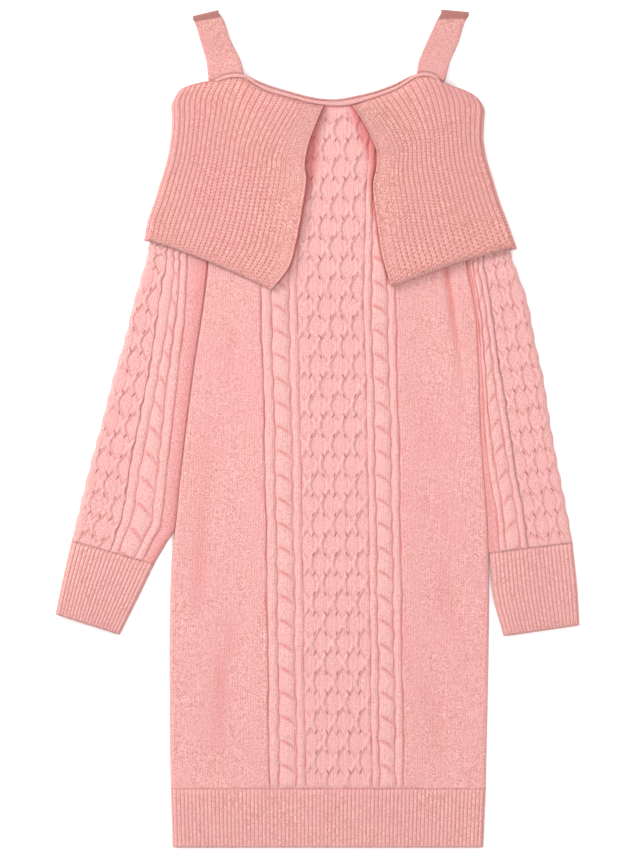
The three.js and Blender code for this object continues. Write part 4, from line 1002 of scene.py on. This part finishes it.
def makeCollar(s):
    left, right = flapPatch(s["left"], s), flapPatch(s["right"], s)
    leftRibs = round(abs(s["left"][3][2] - s["left"][3][0]) / s["rib"])
    rightRibs = round(abs(s["right"][3][2] - s["right"][3][0]) / s["rib"])
    parts = [("leftFlap", leftRibs, s["perRib"]), ("leftSide", s["sideRibs"], s["perRib"]),
             ("back", s["backRibs"], s["perRibBack"]), ("rightSide", s["sideRibs"], s["perRib"]),
             ("rightFlap", rightRibs, s["perRib"])]
    table = []
    before = 0
    for part, ribs, each in parts:
        table += [(part, i / (ribs * each), before + i / each) for i in range(ribs * each)]
        before += ribs
    table.append(("rightFlap", 1.0, float(before)))

    def place(column, t):
        part, f, rib = table[column]
        profile = ribProfile(rib)
        fromBottom = t * s["length"]
        onFlap = part.endswith("Flap")
        free = 1.0
        over = layers["flapInside"] + layers["collarWall"] - s["topDip"] * smooth((t - 0.94) / 0.06)
        if onFlap:
            patch = left if part == "leftFlap" else right
            share = 1 - f if part == "leftFlap" else f
            gathers = s["gather"] * smooth((t - 0.45) / 0.55) * math.sin(math.pi * share ** 1.7)
            x, y, sign = patch(share + gathers, t, s["sideRound"])
            free = (1 - share) * s["flapWidth"]
            normal = (0, 1)
            outside = lift(y) + over
            z = outside
        elif part in ("leftSide", "rightSide"):
            patch = left if part == "leftSide" else right
            turn = f if part == "leftSide" else 1 - f
            angle = math.pi * (0.5 - turn)
            x, y, sign = patch(0.0, t, round(s["sideRound"] * (1 - math.cos(angle)), 4))
            outside = lift(y) + over
            normal = (-sign * math.cos(angle), math.sin(angle))
            z = outside / 2 * (1 + math.sin(angle))
        else:
            ax, ay, _ = left(0.0, t, s["sideRound"])
            bx, by, _ = right(0.0, t, s["sideRound"])
            x = mix(ax, bx, f)
            level = mix(ay, by, f)
            top = min(backNeck(x) - s["underBinding"], s["highestBack"])
            arch = math.sin(math.pi * f)
            y = level - s["backDip"] * arch * (1 - t)
            y += (top - level) * smooth((t - 0.6) / 0.4) * arch ** 0.5
            z = 0.0
            normal = (0, -1)
        fade = smooth((free - mix(2, 9, t)) / mix(16, 40, smooth(t / 0.45))) if onFlap else 1.0
        bead = max(bell(fromBottom - 1.6, 1.3), bell(free - 1.6, 1.3) if onFlap else 0.0)
        rise = s["rise"] * (2 * profile - 1) * fade * smooth((fromBottom - 2) / 3)
        if part == "back":
            rise, bead = 0.0, 0.0
        rise += s["bead"] * bead
        # painted shade in the rib valleys, in a line just inside the edge bead and under the neck roll
        nearEdge = max(bell(fromBottom - 4.2, 1.2), bell(free - 4.2, 1.2) if onFlap else 0.0)
        hollow = 0.85 * (1 - profile) ** 1.2 * (0.12 + 0.88 * fade) * smooth((fromBottom - 2) / 3)
        underRoll = 0.6 * smooth((t - 0.98) / 0.02)
        return {"at": (x + normal[0] * rise, y, z + normal[1] * rise),
                "cloth": (rib * s["rib"], fromBottom), "hollow": max(hollow, 0.35 * nearEdge, underRoll)}

    piece = knitPiece("collarStrip", len(table) - 1, s["rows"], place, s)
    dress(piece, "collar", "collar_knit", thickRib,
          {"flat": (0.69, 0.22), "restsOn": ["front_panel"], "area": 0.12})


makeCollar(collarPiece)


# Straps: up from the front neckline, over a fold and down behind

strapPiece = {
    "thickness": 1.5, "columns": 26, "foldReach": 3.4, "settle": 30.0, "bandFrom": 0.86,
    "width": 36.0, "length": 150.0, "steps": 34, "edgeRound": 2.0, "edgeDrop": 0.9,
    "stitchLine": 3.2, "stitchDip": 0.25,
    # left x, left y, right x, right y, from the neck up
    "left": [
        (-115.6, 378.4, -76.3, 383.2), (-119.3, 396.7, -82.8, 397.8), (-125.8, 418.2, -93.0, 418.2),
        (-130.1, 433.2, -99.4, 437.5), (-133.8, 443.5, -105.9, 450.0),
    ],
    "right": [
        (106.4, 384.8, 134.2, 376.8), (109.6, 396.7, 143.5, 396.7), (118.8, 418.2, 152.1, 416.0),
        (125.8, 433.2, 158.0, 435.4), (133.8, 450.4, 163.4, 447.7),
    ],
}


def makeStrap(name, node, rows, s):
    read = curvesAlong(rows)
    climb = [i / s["steps"] for i in range(s["steps"] + 1)]
    # share of the way up, in front or behind, share of the turn over the fold
    path = [(along, True, 0.0) for along in climb]
    path += [(1.0, True, turn) for turn in (0.12, 0.25, 0.38, 0.5, 0.62, 0.75, 0.88)]
    path += [(1 - along, False, 0.0) for along in climb]

    def place(column, t):
        share = column / s["columns"]
        along, front, fold = path[round(t * (len(path) - 1))]
        lx, ly, rx, ry = read(along)
        x = mix(lx, rx, share)
        neck = frontNeck(x) - 0.6 if front else backNeck(x) - 2.0
        y = max(neck, mix(neck, mix(ly, ry, share), smooth(along / 0.25) * 0.999 + 0.001))
        base = layers["lift"] * (1 - smooth((y - 380) / s["settle"]))
        high = base + layers["frontInside"] + layers["bodyWall"]
        z = mix(high, base, (1 - math.cos(math.pi * fold)) / 2) if fold else (high if front else base)
        y += math.sin(math.pi * fold) * s["foldReach"] - 2 * smooth((along - 0.8) / 0.2)
        near = min(share, 1 - share) * s["width"]
        rim = s["edgeDrop"] * (1 - math.sqrt(1 - (1 - clamp(near / s["edgeRound"])) ** 2))
        z += -rim if front and fold < 0.5 else rim
        stitched = 0.105 * bell(near - s["stitchLine"], 1.6) if front else 0.0
        z -= s["stitchDip"] if front and abs(near - s["stitchLine"]) < 0.7 else 0.0
        # painted shade: a band over the folded top, and a line at the foot beside the neck roll
        foldTopShade = smooth((along - s["bandFrom"]) / 0.03) if front else 0.0
        foot = 0.8 * bell(y - neck - 1.2, 1.2) if front else 0.0
        return {"at": (x, y, z), "cloth": (share * s["width"], t * s["length"]),
                "hollow": max(stitched, foldTopShade, foot)}

    piece = knitPiece(name, s["columns"], len(path) - 1, place, s)
    dress(piece, node, "strap_knit", closeKnit,
          {"flat": (0.037, 0.152), "restsOn": []})


makeStrap("strapLeft", "strap_left", strapPiece["left"], strapPiece)
makeStrap("strapRight", "strap_right", strapPiece["right"], strapPiece)


# Rolled neck edges

bindingPiece = {
    "thickness": 0.3, "around": 12, "rows": 130, "girth": 12.0, "length": 250.0,
    "front": {"from": -111.0, "to": 132.0, "z": 9.0, "height": 2.1, "width": 4.4, "cut": 0.265},
    "back": {"from": -74.0, "to": 103.5, "z": 3.35, "height": 2.5, "width": 2.8, "cut": 0.178},
}


def makeBinding(name, node, neck, run, s):
    def place(column, t):
        x = mix(run["from"], run["to"], t)
        angle = 2 * math.pi * (column % s["around"]) / s["around"]
        across = (0.5 * math.cos(angle) - 0.5) * run["width"]
        z = run["z"] + run["height"] * (0.5 + 0.5 * math.sin(angle))
        cloth = (column / s["around"] * s["girth"], t * s["length"])
        return {"at": (x, neck(x) + across, z), "cloth": cloth, "hollow": 0.1}

    piece = knitPiece(name, s["around"], s["rows"], place, s, ring=True)
    dress(piece, node, "neck_knit", closeRib,
          {"flat": (0.01, run["cut"]), "restsOn": []})


makeBinding("neckEdgeFront", "neck_binding_front", frontNeck, bindingPiece["front"], bindingPiece)
makeBinding("neckEdgeBack", "neck_binding_back", backNeck, bindingPiece["back"], bindingPiece)


# Table

def makeTable(s):
    bm = bmesh.new()
    bmesh.ops.create_grid(bm, x_segments=1, y_segments=1, size=s["tableSize"])
    mesh = bpy.data.meshes.new("table")
    bm.to_mesh(mesh)
    bm.free()
    table = bpy.data.objects.new("table", mesh)
    table.location.z = -s["tableDrop"] * mm
    scene.collection.objects.link(table)
    paint = bpy.data.materials.new("matt white table")
    paint.use_nodes = True
    shader = paint.node_tree.nodes["Principled BSDF"]
    shader.inputs["Base Color"].default_value = linearColour(s["tableColour"])
    shader.inputs["Roughness"].default_value = 0.9
    mesh.materials.append(paint)
    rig.stage(table)


makeTable(stageSettings)

boxes = {"cad": cadBox, "visual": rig.bounds()}
with open("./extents.json", "w") as out:
    json.dump({name: [list(corner) for corner in box] for name, box in boxes.items()}, out)
